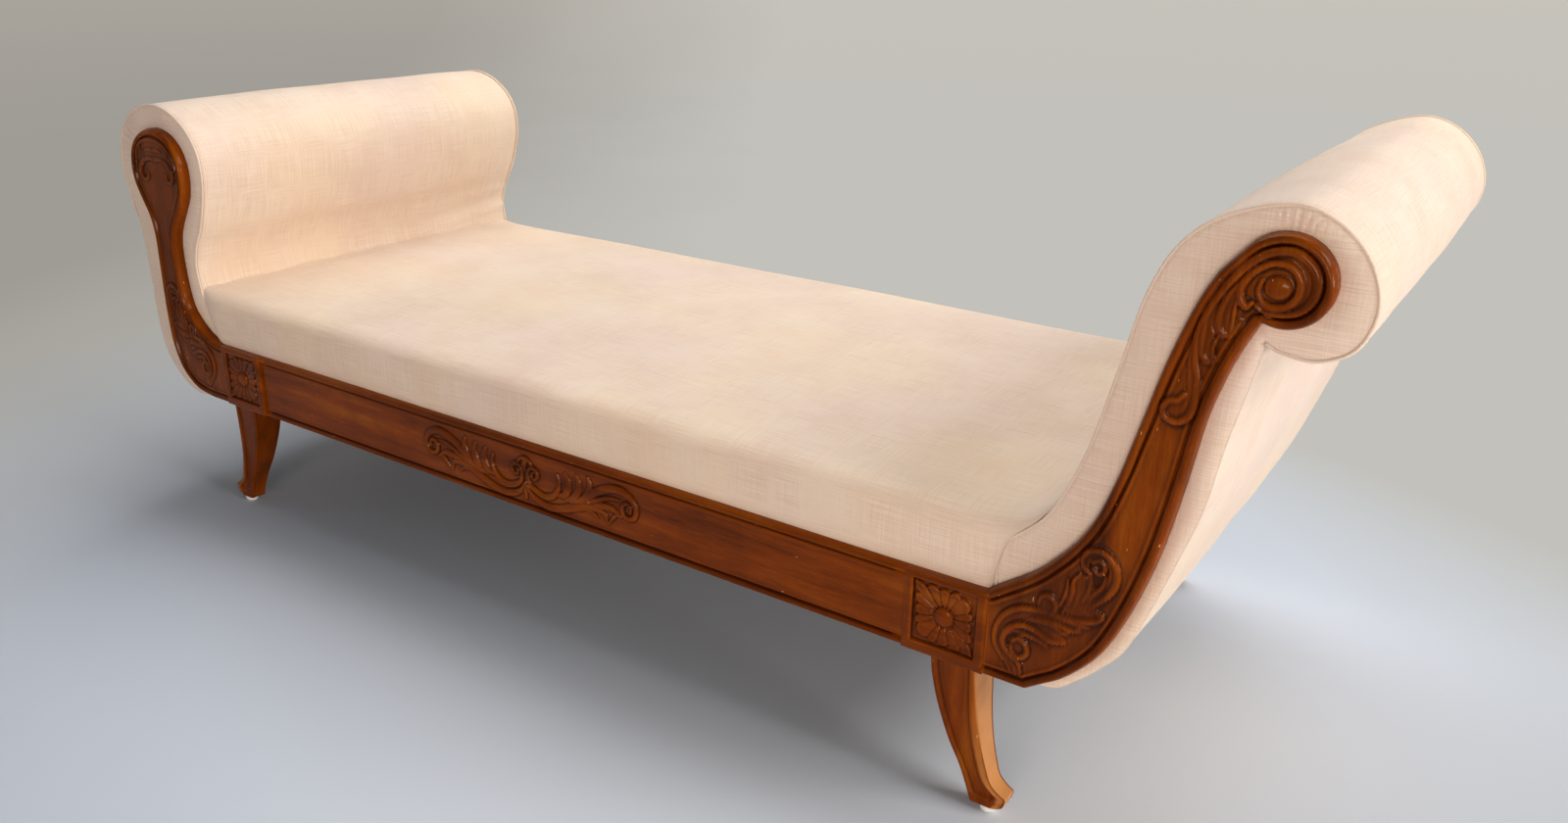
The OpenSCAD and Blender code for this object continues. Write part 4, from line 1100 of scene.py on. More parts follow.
@dataclass(frozen=True)
class Wrap:
    """Fabric carried along a path, from a foot at the front over an edge to a foot at the back.

    At each station the front rises from its foot towards the path, rounds over by a quarter of an
    ellipse and crosses to the middle with a little crown; the back is its mirror image. A flat
    underside joins the two feet, so the form is closed.
    """

    path: Array
    foot: Array
    foot_depth: Array
    round_h: float = 24.0
    round_depth: Array = field(default_factory=lambda: np.array([16.0]))
    crown: Array = field(default_factory=lambda: np.array([3.0]))
    bulge: float = 5.0
    rows_up: int = 9
    rows_round: int = 14
    rows_top: int = 56

    def grid(self, out: Array) -> tuple[Array, Array, Array, Array]:
        """Smooth grid over the form, from the front foot over to the back foot.

        Args:
            out: the path's normals.

        Returns:
            Places in the path's plane, their depths, how far each faces along the path's normal,
            and its height share: from 0 to 1 on the border and from 1 to 2 on the top.
        """
        n = len(self.path)
        rod = self.path - self.foot
        tall = np.linalg.norm(rod, axis=1)[:, None]
        unit = rod / tall
        r = np.minimum(self.round_h, tall)
        deep = np.broadcast_to(self.round_depth.reshape(-1, 1), (n, 1))
        start = self.foot_depth.reshape(-1, 1)
        up = np.linspace(0, 1, self.rows_up)[None, :-1]
        turn = np.radians(np.linspace(0, 90, self.rows_round))[None]
        swell = self.bulge * rise((tall - 20) / 60)
        w = np.hstack([(tall - r) * up, tall - r + r * np.sin(turn)])
        depth = start - swell * np.sin(np.pi * np.minimum(w / tall, 1)) ** 0.8
        depth[:, up.shape[1]:] += deep * (1 - np.cos(turn))
        lean = np.hstack([np.zeros((n, up.shape[1])), np.tile(np.sin(turn), (n, 1))])
        q = np.linspace(0, 1, self.rows_top + 1)[None, 1:] ** 1.25
        edge = depth[:, -1:]
        top_depth = edge + (DEPTH / 2 - edge) * q
        lift = self.crown.reshape(-1, 1) * (1 - (1 - q) ** 2.6)
        flat = self.foot[:, None] + unit[:, None] * w[..., None]
        top = self.path[:, None] + out[:, None] * lift[..., None]
        half = np.concatenate([flat, top], axis=1)
        depth = np.hstack([depth, top_depth])
        lean = np.hstack([lean, np.ones_like(top_depth)])
        share = np.hstack([w / tall, 1 + q * np.ones_like(top_depth)])
        half, lean, share = (np.concatenate([a, a[:, -2::-1]], axis=1) for a in (half, lean, share))
        return half, np.concatenate([depth, DEPTH - depth[:, -2::-1]], axis=1), lean, share

    def make(self, name: str, place: Place, ripple: Callable[[Array, Array, Array], Array]) -> bpy.types.Object:
        """Mesh of the wrapped form, closed by a flat underside and settled.

        Args:
            name: the piece's name.
            place: the end whose measures the path is in.
            ripple: how far the fabric stands out, from its place along, its depth and its height share.

        Returns:
            The new object.
        """
        out = -sideways(self.path)
        flat, depth, lean, share = self.grid(out)
        rows, cols = depth.shape
        stand = ripple(np.tile(travelled(self.path)[:, None], (1, cols)), depth, share)
        flat = flat + out[:, None] * (stand * lean)[..., None]
        depth = depth - stand * np.sqrt(np.clip(1 - lean**2, 0, 1)) * np.sign(DEPTH / 2 - depth)
        base = np.linspace(0, 1, 7)[None, 1:-1]
        ring = np.concatenate([flat, np.broadcast_to(flat[:, -1:], (rows, base.shape[1], 2))], axis=1)
        deep_ring = np.hstack([depth, depth[:, -1:] + (depth[:, :1] - depth[:, -1:]) * base])
        rings = place.world(ring[..., 0], deep_ring, ring[..., 1])
        rings = Settling().moved(rings, cols)
        over = np.linalg.norm(np.diff(rings, axis=1), axis=2)
        over = np.hstack([np.zeros((rows, 1)), np.cumsum(over, axis=1)])
        middle = over[:, over.shape[1] // 2][:, None]
        along = np.tile(travelled(self.path)[:, None] / 1000, (1, over.shape[1]))
        cloth = np.stack([along.ravel(), (over - middle).ravel()], axis=1)
        return loft(name, rings, cloth=cloth, crease=75.0)


# Folds at the low roll's far end: height, place along the cover, slant and width.
FOLDS = ((6.5, 60, 0.08, 12), (-4, 86, 0.1, 15), (3, 112, 0.12, 14))


def unevenness(s: Array, depth: Array, size: float, seed: float) -> Array:
    """Soft unevenness of stretched fabric: four long waves that cross, with the given height.

    Args:
        s: place along the path.
        depth: depth from the front.
        size: the waves' height.
        seed: what tells one cover's waves from another's.

    Returns:
        How far the fabric stands out.
    """
    a, b = s / 1000, depth / 1000
    return size * (
        0.45 * np.sin(9.1 * a + 4.3 * b + seed)
        + 0.30 * np.sin(5.7 * a - 13.7 * b + 2.1 * seed)
        + 0.25 * np.sin(21.0 * a + 17.0 * b + 3.7 * seed) * np.sin(7.0 * b + seed)
        + 0.20 * np.sin(31.0 * b - 11.0 * a + seed)
    )


def tucked(run: Array, by: float = 10.0) -> Array:
    """A run with one more point that carries its end on by a distance."""
    ahead = run[-1] - run[-3]
    return np.vstack([run, run[-1] + ahead / np.linalg.norm(ahead) * by])


@dataclass(frozen=True)
class Upholstery:
    """The fabric covers of the seat and of both scroll ends, their end panels and their welts."""

    fabric: bpy.types.Material
    seam_in: float = 5.0
    seam_depth: float = 21.0
    low_roll_from: float = 186.0
    welt_r: float = 2.2

    def cover(self, piece: bpy.types.Object, fill: float, *nodes: str) -> None:
        """Keeps a padded piece of fabric."""
        keep(piece, self.fabric, "cover_fabric", *nodes)

    def seat_path(self) -> Array:
        """Path over the seat, up the high end and round its roll, measured from the couch's middle.

        Returns:
            The path's points, evenly spaced.
        """
        run = tucked(outline(INSIDE[False], False) + CORNER_OUT)
        seat = [[-892, 438], [-876, 434.5], [-856, 432], [-826, 430], [-780, 429], [-700, 429], [-450, 430],
                [-150, 431], [150, 431], [450, 431], [650, 431], [735, 431], [782, 432.5], [816, 438], [843, 450],
                [864, 471]]
        return even(curve(np.vstack([seat, run[5 * SPAN : -1 : SPAN], run[-1:]]), 12), 560)

    def seat_foot(self, path: Array) -> Array:
        """Foot of the front border: in the rail's rebate, and up the seams at both ends.

        Args:
            path: the path over the seat.

        Returns:
            The foot of each of the path's points.
        """
        out = -sideways(path)
        keys = np.array([
            [-888, 437, -874, 429], [-876, 434, -868, 419], [-861, 432, -859, 400], [-846, 431, -847, 374],
            [-830, 430.5, -835, 350], [-812, 429, -818, 330], [-790, 429, -791, 328], [-700, 429, -700, 328],
            [0, 431, 0, 328], [700, 431, 700, 328], [768, 432, 771, 328], [786, 433, 790, 328], [797, 434, 798.5, 327],
            [807, 436, 799, 345], [817, 438.5, 800, 367], [827, 442, 804, 391], [838, 447.5, 814, 407],
            [849, 455, 831, 424], [860, 466, 849, 441], [871, 485, 869, 473]])
        s = travelled(path)
        _, share = nearest(keys[:, :2], path)
        where = np.append(share * s[-1], s[-1] * share[-1] + 26)
        last = int(np.searchsorted(s, where[-1]))
        arm = path - out * self.seam_in
        ends = np.vstack([keys[:, 2:], arm[last]])
        foot = np.where((s < where[-1])[:, None],
                        np.stack([np.interp(s, where, ends[:, 0]), np.interp(s, where, ends[:, 1])], axis=1), arm)
        return smoothed(foot, 3)

    def seat(self) -> None:
        """Seat and high end in one stretch of fabric, with a bulging front border."""
        path = self.seat_path()
        foot = self.seat_foot(path)
        on_seat = rise((830 - path[:, 0]) / 60) * rise((path[:, 0] + 856) / 52) * (path[:, 1] < 480)
        shape = Wrap(
            path, foot,
            foot_depth=self.seam_depth + (SHOW_W - self.seam_depth) * on_seat,
            round_depth=15 + 15 * on_seat,
            crown=3 + 5.5 * on_seat,
        )

        def ripple(s: Array, depth: Array, share: Array) -> Array:
            """Long waves, a shallow trough and small gathers beside the low end, and pulls at the seams.

            Args:
                s: place along the path.
                depth: depth from the front.
                share: height share.

            Returns:
                How far the fabric stands out.
            """
            end = np.exp(-s / 26)
            gathers = 2.2 * np.exp(-s / 55) * np.sin(depth / 17 + 1.5 * np.sin(depth / 61))
            return unevenness(s, depth, 1.3, 0.4) - 2 * end * (share > 0.6) + gathers * rise((share - 0.6) * 4)

        piece = shape.make("seat_and_high_end", Place(), ripple)
        self.cover(piece, 0.85, "seat_cover", "seat_foam", "inside_cover_right", "end_padding_right")

    def end_cover(self, side: Side, inside: bool) -> None:
        """Cover of a scroll end, over its roll or over its outer side.

        Args:
            side: the end.
            inside: whether it is the cover over the roll.
        """
        low = side.value
        if inside:
            run = outline(INSIDE[low], low)
            run = tucked(run[run[:, 1] > self.low_roll_from])
        else:
            run = tucked(outline(OUTSIDE[low], low)[::-1])[::-1]
        path = even(run, int(travelled(run)[-1] / 5)) + CORNER_OUT
        out = -sideways(path)
        shape = Wrap(path, path - out * self.seam_in, np.full(len(path), self.seam_depth))
        seed = 1.3 + 2.2 * low + 0.7 * inside

        def ripple(s: Array, depth: Array, share: Array) -> Array:
            """Long waves, small gathers where the cover meets another, and folds at the low roll's far end.

            Args:
                s: place along the path.
                depth: depth from the front.
                share: height share.

            Returns:
                How far the fabric stands out.
            """
            near = np.exp(-s / 40)
            far = DEPTH - depth
            held = np.exp(-far / 190) * rise(far / 30) * (low and inside)
            folds = sum(tall * np.exp(-(((s - at + slant * far) / wide) ** 2)) for tall, at, slant, wide in FOLDS)
            gathers = (1.8 if inside else 0.3) * near * np.sin(depth / 19 + seed)
            return unevenness(s, depth, 1.5, seed) + (gathers + held * folds) * rise((share - 0.5) * 3)

        name = f"{'roll' if inside else 'outer_side'}_{'low' if low else 'high'}_end"
        nodes = [f"{'inside' if inside else 'outside'}_cover_{'left' if low else 'right'}"]
        if inside:
            nodes.append("end_padding_left")
        self.cover(shape.make(name, Place(side), ripple), 0.8, *nodes)

    def panel(self, place: Place) -> None:
        """End panel: fabric pulled flat, softly filled between its seam and the facing.

        Args:
            place: its corner of the couch.
        """
        low = place.side.value
        neck, apex = (SPAN * k for k in PANEL_TURNS[low])
        inside, outside = outline(INSIDE[low], low), outline(OUTSIDE[low], low)
        a1, a2 = outside[::-1], inside[apex:][::-1]
        b1, b2 = inside[: neck + 1], inside[neck : apex + 1]
        n, m = int(travelled(b1)[-1] / 3.5), int(travelled(b2)[-1] / 3.5)
        side_a = np.vstack([even(a1, n), even(a2, m)[1:]])
        side_b = np.vstack([even(b1, n), even(b2, m)[1:]])
        seam = np.vstack([inside[::2], outside[::2]])
        facing_a, facing_b = FacingShape(low).runs(6.0)
        ring = np.vstack([facing_a, facing_b[::-1]])

        def height(points: Array) -> Array:
            """Half a wave between the seam and the facing, with small gathers that run in from the seam.

            Args:
                points: places in the plane, one row each.

            Returns:
                The heights.
            """
            to_seam, along = nearest(points, seam)
            to_wood, _ = nearest(points, ring)
            share = to_seam / np.maximum(to_seam + to_wood, 1e-6)
            puff = 2.8 * np.sin(np.pi * np.clip(share, 0, 1)) ** 0.8 * rise((to_seam + to_wood) / 26)
            pulls = 0.35 * np.exp(-to_seam / 14) * np.sin(along * 420) * (0.4 + 0.6 * np.sin(along * 37) ** 2)
            rel = points - ([.5 * REACH[low], .8 * RISE[low]] if low else VOLUTE_EYE)
            turn = np.degrees(np.arctan2(rel[:, 1], rel[:, 0]))
            held = bump((turn - (25 if low else 92)) / (60 if low else 42))
            pulls = pulls + 0.9 * held * np.sin(turn * 0.93 + 1.4 * np.sin(turn / 9)) * np.sin(np.pi * share) ** 0.4
            to_welt, _ = nearest(points, inside[::2])
            # The groove along the welt and the dip inside the facing also set where the fabric gets its painted seam
            # shade.
            return np.where(enclosed(points, ring), -0.4, puff + pulls * rise(to_seam / 5)) - 2.2 * bump(to_welt / 5)

        piece = plate(
            f"end_panel_{place.name}", place, side_a, side_b, np.linspace(0, 1, 64), height, FACING_T, FACING_T + 3,
            cloth=True,
        )
        self.cover(piece, 0.3, f"face_panel_{place.name}")

    def welt(self, place: Place) -> None:
        """Welt: a round cord carried along the seam between the end panel and the cover.

        Args:
            place: its corner of the couch.
        """
        low = place.side.value
        run = outline(INSIDE[low], low, 10)
        run = even(run + (self.welt_r - 0.6) * sideways(run), int(travelled(run)[-1] / 4))
        side = sideways(run)[:, None]
        a = np.linspace(0, 2 * np.pi, 9)[None, :-1]
        flat = run[:, None] + side * (self.welt_r * np.cos(a))[..., None]
        depth = np.broadcast_to(FACING_T + 0.2 + self.welt_r * np.sin(a), flat.shape[:2])
        rings = place.world(BLOCK_OUT + flat[..., 0], depth, RAIL_Z + flat[..., 1])
        along = np.tile(travelled(run)[:, None] / 1000, (1, 8))
        cloth = np.stack([along.ravel(), np.tile(a / 400, (len(run), 1)).ravel()], axis=1)
        piece = loft(f"welt_cord_{place.name}", rings, cloth=cloth, crease=80.0)
        keep(piece, self.fabric, "cover_fabric", f"welt_{place.name}")

    def make(self) -> None:
        """Makes every piece of fabric that shows."""
        self.seat()
        self.end_cover(Side.LOW, True)
        self.end_cover(Side.LOW, False)
        self.end_cover(Side.HIGH, False)
        for place in CORNERS:
            self.panel(place)
            self.welt(place)


# ---- under the seat -------------------------------------------------------


def millimetres(node: str) -> tuple[Array, Array]:
    """The lowest and the highest corner of a node's box."""
    low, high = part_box(node)
    return np.array(low) * 1000, np.array(high) * 1000


@dataclass(frozen=True)
class UnderSeat:
    """Woven webbing, the hessian over it and the dust cover tacked under the frame."""

    jute: bpy.types.Material
    hessian: bpy.types.Material
    black: bpy.types.Material
    strap_w: float = 50.0
    strap_t: float = 1.1
    weave_z: float = 327.5
    over: float = 0.75
    hessian_z: float = 329.95
    dust_z: float = 217.85
    counts: tuple[int, int] = (8, 19)

    def straps(self, node: str, axis: int, crossing: str) -> None:
        """Straps side by side along an axis, which pass over and under the crossing ones.

        The height of a strap's middle is a cosine along it, whose half wave is the pitch of the
        crossing straps and whose sign changes from strap to strap.

        Args:
            node: the node that they stand for.
            axis: 0 for straps along X, 1 for straps along Y.
            crossing: the node of the straps that cross them.
        """
        low, high = millimetres(node)
        other_low, other_high = millimetres(crossing)
        side = 1 - axis
        pitch = (high[side] - low[side] - self.strap_w) / (self.counts[axis] - 1)
        other = (other_high[axis] - other_low[axis] - self.strap_w) / (self.counts[side] - 1)
        s = np.linspace(low[axis], high[axis], int((high[axis] - low[axis]) / 9))
        wave = np.cos(np.pi * (s - other_low[axis] - self.strap_w / 2) / other) * (1 if axis else -1)
        corner = np.array([[0, -1], [0, 1], [1, 1], [1, -1]])
        stacks = []
        for k in range(self.counts[axis]):
            rings = np.empty((len(s), 4, 3))
            rings[..., axis] = s[:, None]
            rings[..., side] = low[side] + k * pitch + self.strap_w * corner[:, 0]
            lift = self.over * wave * (-1) ** k
            rings[..., 2] = self.weave_z + lift[:, None] + self.strap_t / 2 * corner[:, 1]
            stacks.append(rings / 1000)
        keep(bundle(f"woven_{node}", stacks), self.jute, "webbing_cloth", node)

    def cloth(self, name: str, x: Array, half: Array, top: Callable[[Array, Array], Array]) -> bpy.types.Object:
        """Thin cloth of varying width across the couch, whose upper side lies at a height over x and y.

        Args:
            name: the piece's name.
            x: the stations.
            half: half the width at each of them.
            top: height of the upper side at x and y.

        Returns:
            The new object.
        """
        t = np.linspace(-1, 1, 61)[None]
        y = half[:, None] * t
        z = top(np.broadcast_to(x[:, None], y.shape), y)
        ring_y, ring_z = np.hstack([y, y[:, ::-1]]), np.hstack([z, z[:, ::-1] - 0.7])
        rings = np.stack(np.broadcast_arrays(x[:, None], ring_y, ring_z), axis=-1) / 1000
        return loft(name, rings)

    def make(self) -> None:
        """Makes the webbing, the hessian and the dust cover."""
        self.straps("webbing_across", 1, "webbing_along")
        self.straps("webbing_along", 0, "webbing_across")
        low, high = millimetres("seat_hessian")
        x = np.linspace(low[0], high[0], 121)
        cover = self.cloth("hessian_sheet", x, np.full(len(x), high[1]), lambda a, b: np.full(a.shape, self.hessian_z))
        keep(cover, self.hessian, "webbing_cloth", "seat_hessian")
        low, high = millimetres("dust_cover")
        step = np.array([low[0] - MID_X, -BLOCK_IN - 0.5, -BLOCK_IN, BLOCK_IN, BLOCK_IN + 0.5, high[0] - MID_X])
        x = MID_X + np.unique(np.concatenate([step, np.linspace(step[0], step[-1], 121)]))
        inner = np.interp(np.abs(x - MID_X), [BLOCK_IN, BLOCK_IN + 0.5], [high[1], DEPTH / 2 - BLOCK_D])

        def sagging(a: Array, b: Array) -> Array:
            """A shallow sag that ends before the tacks, with a faint wave between them."""
            inside = rise((1 - np.abs(a - MID_X) / (step[-1] - 14)) * 4) * rise((1 - np.abs(b) / (high[1] - 14)) * 3)
            return self.dust_z - 4.5 * inside * (1 + 0.3 * np.sin(a / 90) * np.sin(b / 70 + 1))

        dust = self.cloth("dust_cover_cloth", x, inner, sagging)
        keep(dust, self.black, "dust_cloth", "dust_cover")
        wide, deep = (high[0] - low[0]) / 1000, (high[1] - low[1]) / 1000
        notch = (wide - 2 * BLOCK_IN / 1000) * (deep - (DEPTH - 2 * BLOCK_D) / 1000)


# ---- finishes -------------------------------------------------------------


def shade(code: str) -> tuple[float, float, float, float]:
    """Linear colour of a web colour: each channel c becomes ((c + 0.055) / 1.055) ^ 2.4."""
    parts = [int(code[k : k + 2], 16) / 255 for k in (1, 3, 5)]
    return (*[c / 12.92 if c <= 0.04045 else ((c + 0.055) / 1.055) ** 2.4 for c in parts], 1.0)


class Wire:
    """A value's socket, whose operators add Math nodes."""

    def __init__(self, graph: "Graph", socket: bpy.types.NodeSocket) -> None:
        """Keeps the socket and the graph it belongs to."""
        self.graph, self.socket = graph, socket

    def _with(self, operation: str, first: object, second: object) -> "Wire":
        """A Math node of two operands."""
        return self.graph.add("ShaderNodeMath", {"operation": operation}, {0: first, 1: second})

    def __add__(self, other: object) -> "Wire":
        """This value plus another."""
        return self._with("ADD", self, other)

    def __sub__(self, other: object) -> "Wire":
        """This value less another."""
        return self._with("SUBTRACT", self, other)

    def __rsub__(self, other: object) -> "Wire":
        """Another value less this one."""
        return self._with("SUBTRACT", other, self)

    def __mul__(self, other: object) -> "Wire":
        """This value times another."""
        return self._with("MULTIPLY", self, other)

    __radd__, __rmul__ = __add__, __mul__

    def clamped(self) -> "Wire":
        """This value kept between 0 and 1."""
        return self._with("MAXIMUM", self._with("MINIMUM", self, 1.0), 0.0)


class Graph:
    """A finish's node tree."""

    def __init__(self, name: str) -> None:
        """Starts an empty material of that name.

        Args:
            name: the material's name.
        """
        self.material = bpy.data.materials.new(name)
        self.material.use_nodes = True
        self.tree = self.material.node_tree
        self.tree.nodes.clear()

    def add(self, kind: str, settings: dict, sockets: dict, out: object = 0) -> Wire:
        """Adds a node.

        Args:
            kind: the node's type.
            settings: its properties, set first; "stops" holds a ramp's places and colours.
            sockets: its inputs by name or number, as values or as wires.
            out: the output to return, by name or number.

        Returns:
            That output.
        """
        node = self.tree.nodes.new(kind)
        for key, value in settings.items():
            if key == "stops":
                ramp = node.color_ramp.elements
                while len(ramp) < len(value):
                    ramp.new(1.0)
                for element, (place, colour) in zip(ramp, value):
                    element.position, element.color = place, colour
            else:
                setattr(node, key, value)
        for key, value in sockets.items():
            if isinstance(value, Wire):
                self.tree.links.new(value.socket, node.inputs[key])
            else:
                node.inputs[key].default_value = value
        return Wire(self, node.outputs[out])

    def place(self, scale: tuple = (1, 1, 1), turn: tuple = (0, 0, 0), cloth: bool = False) -> Wire:
        """Object coordinates, or the cloth's own, scaled and turned.

        Args:
            scale: factors along the three axes.
            turn: angles about them in radians.
            cloth: whether the cloth's own coordinates are meant.

        Returns:
            The place.
        """
        if cloth:
            source = self.add("ShaderNodeUVMap", {"uv_map": "cloth"}, {})
        else:
            source = self.add("ShaderNodeTexCoord", {}, {}, "Object")
        return self.add("ShaderNodeMapping", {}, {"Vector": source, "Scale": scale, "Rotation": turn})

    def noise(self, where: Wire, scale: float, detail: float = 3.0, rough: float = 0.55) -> Wire:
        """Smooth noise between 0 and 1."""
        return self.add("ShaderNodeTexNoise", {}, {"Vector": where, "Scale": scale, "Detail": detail,
                                                   "Roughness": rough}, "Fac")

    def ramp(self, factor: Wire, *stops: tuple) -> Wire:
        """Colours spread over a factor, from pairs of a place and a web colour."""
        return self.add("ShaderNodeValToRGB", {"stops": [(p, shade(c)) for p, c in stops]}, {"Fac": factor}, "Color")

    def mix(self, factor: Wire, first: object, second: object) -> Wire:
        """Two colours mixed by a factor."""
        return self.add("ShaderNodeMix", {"data_type": "RGBA"}, {0: factor, 6: first, 7: second}, 2)

    def coated(self, colour: Wire, *coats: tuple) -> Wire:
        """A colour under coats of web colours, each with its share, which is kept between 0 and 1.

        Args:
            colour: the colour underneath.
            coats: pairs of a share and a web colour, in order.

        Returns:
            The colour on top.
        """
        for share, code in coats:
            colour = self.mix(share.clamped(), colour, shade(code))
        return colour

    def part(self, where: Wire, axis: int) -> Wire:
        """One of a place's three numbers."""
        return self.add("ShaderNodeSeparateXYZ", {}, {0: where}, axis)

    def hollow(self) -> Wire:
        """How deep in a hollow the surface lies, which the finishes turn into pooled staining and painted shade, and
        below 0 into painted light.
        """
        return self.add("ShaderNodeAttribute", {"attribute_name": "hollow"}, {}, "Fac")

    def waves(self, where: Wire, scale: float, distortion: float) -> list[Wire]:
        """Waves along X and along Y, which stand for the threads of a weave."""
        return [self.add("ShaderNodeTexWave", {"bands_direction": way},
                         {"Vector": where, "Scale": scale, "Distortion": distortion}, "Fac") for way in "XY"]

    def bumped(self, height: Wire, distance: float, strength: float = 1.0) -> Wire:
        """Normal of a surface raised by a height times a distance in metres."""
        return self.add("ShaderNodeBump", {}, {"Strength": strength, "Distance": distance, "Height": height})

    def finish(self, **sockets: object) -> bpy.types.Material:
        """Ends the tree in a principled shader with these inputs; spaces are written as underscores.

        Args:
            sockets: the shader's inputs by name.

        Returns:
            The finished material.
        """
        names = {key.replace("_", " "): value for key, value in sockets.items()}
        shader = self.add("ShaderNodeBsdfPrincipled", {}, names)
        end = self.tree.nodes.new("ShaderNodeOutputMaterial")
        self.tree.links.new(shader.socket, end.inputs[0])
        return self.material


@dataclass(frozen=True)
class VarnishedWood:
    """Stained and varnished show wood, with the grain along one axis, pooled staining and painted shade darkening its
    hollows, and painted highlights on its crests and plain sides.
    """

    name: str
    along: int
    dark: str = "#3f1701"
    body: str = "#7a3401"
    light: str = "#9c5308"
    painted_highlight: str = "#d0935a"
    pooled_stain_and_shade: str = "#331203"
    bare: str = "#c99a6a"

    def material(self) -> bpy.types.Material:
        """Two noises stretched along the grain choose the colour; hollows darken with pooled staining and painted
        shade, and crests and plain sides lighten with edge wear and painted highlights.

        Returns:
            The finished material.
        """
        g = Graph(self.name)
        stretch = [14.0, 14.0, 14.0]
        stretch[self.along] = 1.2
        where = g.place(tuple(stretch))
        broad, fine = g.noise(where, 2.2, 4), g.noise(where, 26, 3, 0.7)
        deep, patchy = g.hollow(), g.noise(g.place(), 9, 3)
        nick = g.noise(g.place(tuple(260.0 if k != self.along else 90.0 for k in range(3))), 1.0, 1)
        return g.finish(
            Base_Color=g.coated(
                g.ramp(broad * 0.7 + fine * 0.3, (0.29, self.dark), (0.53, self.body), (0.79, self.light)),
                # Hollows: pooled staining together with painted shade.
                (deep * 0.48 - 0.05, self.pooled_stain_and_shade),
                # Crests: edge wear together with a painted highlight.
                (deep * -0.3, self.light),
                # Painted highlight on the plain sides of rails, blocks and legs.
                (deep * -0.5 - 0.35, self.painted_highlight),
                ((patchy - 0.5) * 1.6, self.dark),
                ((nick - 0.775) * 30, self.bare),
            ),
            Roughness=fine * 0.16 + patchy * 0.10 + 0.20,
            Normal=g.bumped(fine, 0.0005, 0.5),
            Coat_Weight=0.13,
            Coat_Roughness=0.09,
            Specular_IOR_Level=0.1,
            Specular_Tint=(1.0, 0.45, 0.14, 1.0),
        )


@dataclass(frozen=True)
class SlubWeave:
    """Pale plain-woven fabric whose threads thicken here and there, with painted shade in the grooves of its seams."""

    name: str = "peach_slub_weave"
    pale: str = "#f5ddc5"
    deep: str = "#e8c9ae"
    warm: str = "#f8dab0"
    rosy: str = "#e8cbc0"
    # Colour of the painted shade in seam grooves and dips.
    seam: str = "#97725c"

    def material(self) -> bpy.types.Material:
        """Threads are the sum of two waves in the cloth's own metres; slubs are stretched noise; seam grooves darken
        with painted shade.

        Returns:
            The finished material.
        """
        g = Graph(self.name)
        warp, weft = g.waves(g.place(cloth=True), 330.0, 1.0)
        slub_a = g.noise(g.place((14, 620, 1), cloth=True), 1.0, 3)
        slub_b = g.noise(g.place((620, 14, 1), cloth=True), 1.0, 3)
        cloud, broad = g.noise(g.place(), 7.0, 3), g.noise(g.place(), 2.6, 3)
        tone = slub_a * 0.45 + slub_b * 0.3 + cloud * 0.25
        thread = (warp + weft) * 0.35 + (slub_a + slub_b) * 0.8
        return g.finish(
            Base_Color=g.coated(
                g.ramp(tone, (0.42, self.deep), (0.56, self.pale)),
                ((broad - 0.47) * 2.0, self.warm),
                ((0.48 - broad) * 1.8, self.rosy),
                # Painted shade along the welt's groove and where the panel dips beside the wood.
                (g.hollow() * 0.5 - 0.05, self.seam),
            ),
            Roughness=tone * 0.2 + 0.72,
            Normal=g.bumped(thread, 0.0009, 0.7),
            Sheen_Weight=0.25,
            Sheen_Roughness=0.5,
            Specular_IOR_Level=0.25,
        )


@dataclass(frozen=True)
class Plain:
    """Finish of a hidden or small part: two tones by noise, with a fine grain in the surface."""

    name: str
    dark: str
    light: str
    rough: float = 0.7
    metal: float = 0.0
    scale: tuple = (30.0, 30.0, 30.0)
    raised: float = 0.0003

    def material(self) -> bpy.types.Material:
        """Noise at two sizes, of which the finer one also moves the surface and its roughness.

        Returns:
            The finished material.
        """
        g = Graph(self.name)
        where = g.place(self.scale)
        broad, fine = g.noise(where, 1.0, 3), g.noise(where, 12.0, 2)
        return g.finish(
            Base_Color=g.ramp(broad * 0.6 + fine * 0.4, (0.3, self.dark), (0.7, self.light)),
            Roughness=fine * 0.2 + self.rough - 0.1,
            Metallic=self.metal,
            Normal=g.bumped(fine, self.raised, 0.6),
        )


@dataclass(frozen=True)
class PlainCloth:
    """Coarse plain weave of a hidden cloth, whose threads lie a pitch apart."""

    name: str
    dark: str
    light: str
    pitch: float

    def material(self) -> bpy.types.Material:
        """Two waves along X and Y give the threads; noise makes some of them darker.

        Returns:
            The finished material.
        """
        g = Graph(self.name)
        warp, weft = g.waves(g.place(), 2 * math.pi / (20 * self.pitch), 0.6)
        uneven = g.noise(g.place((9, 400, 1)), 1.0, 3) * 0.5 + g.noise(g.place((400, 9, 1)), 1.0, 3) * 0.5
        threads = warp * weft
        return g.finish(
            Base_Color=g.ramp(threads * 0.45 + uneven * 0.55, (0.2, self.dark), (0.75, self.light)),
            Roughness=uneven * 0.2 + 0.75,
            Normal=g.bumped(threads, 0.0006, 0.7),
        )


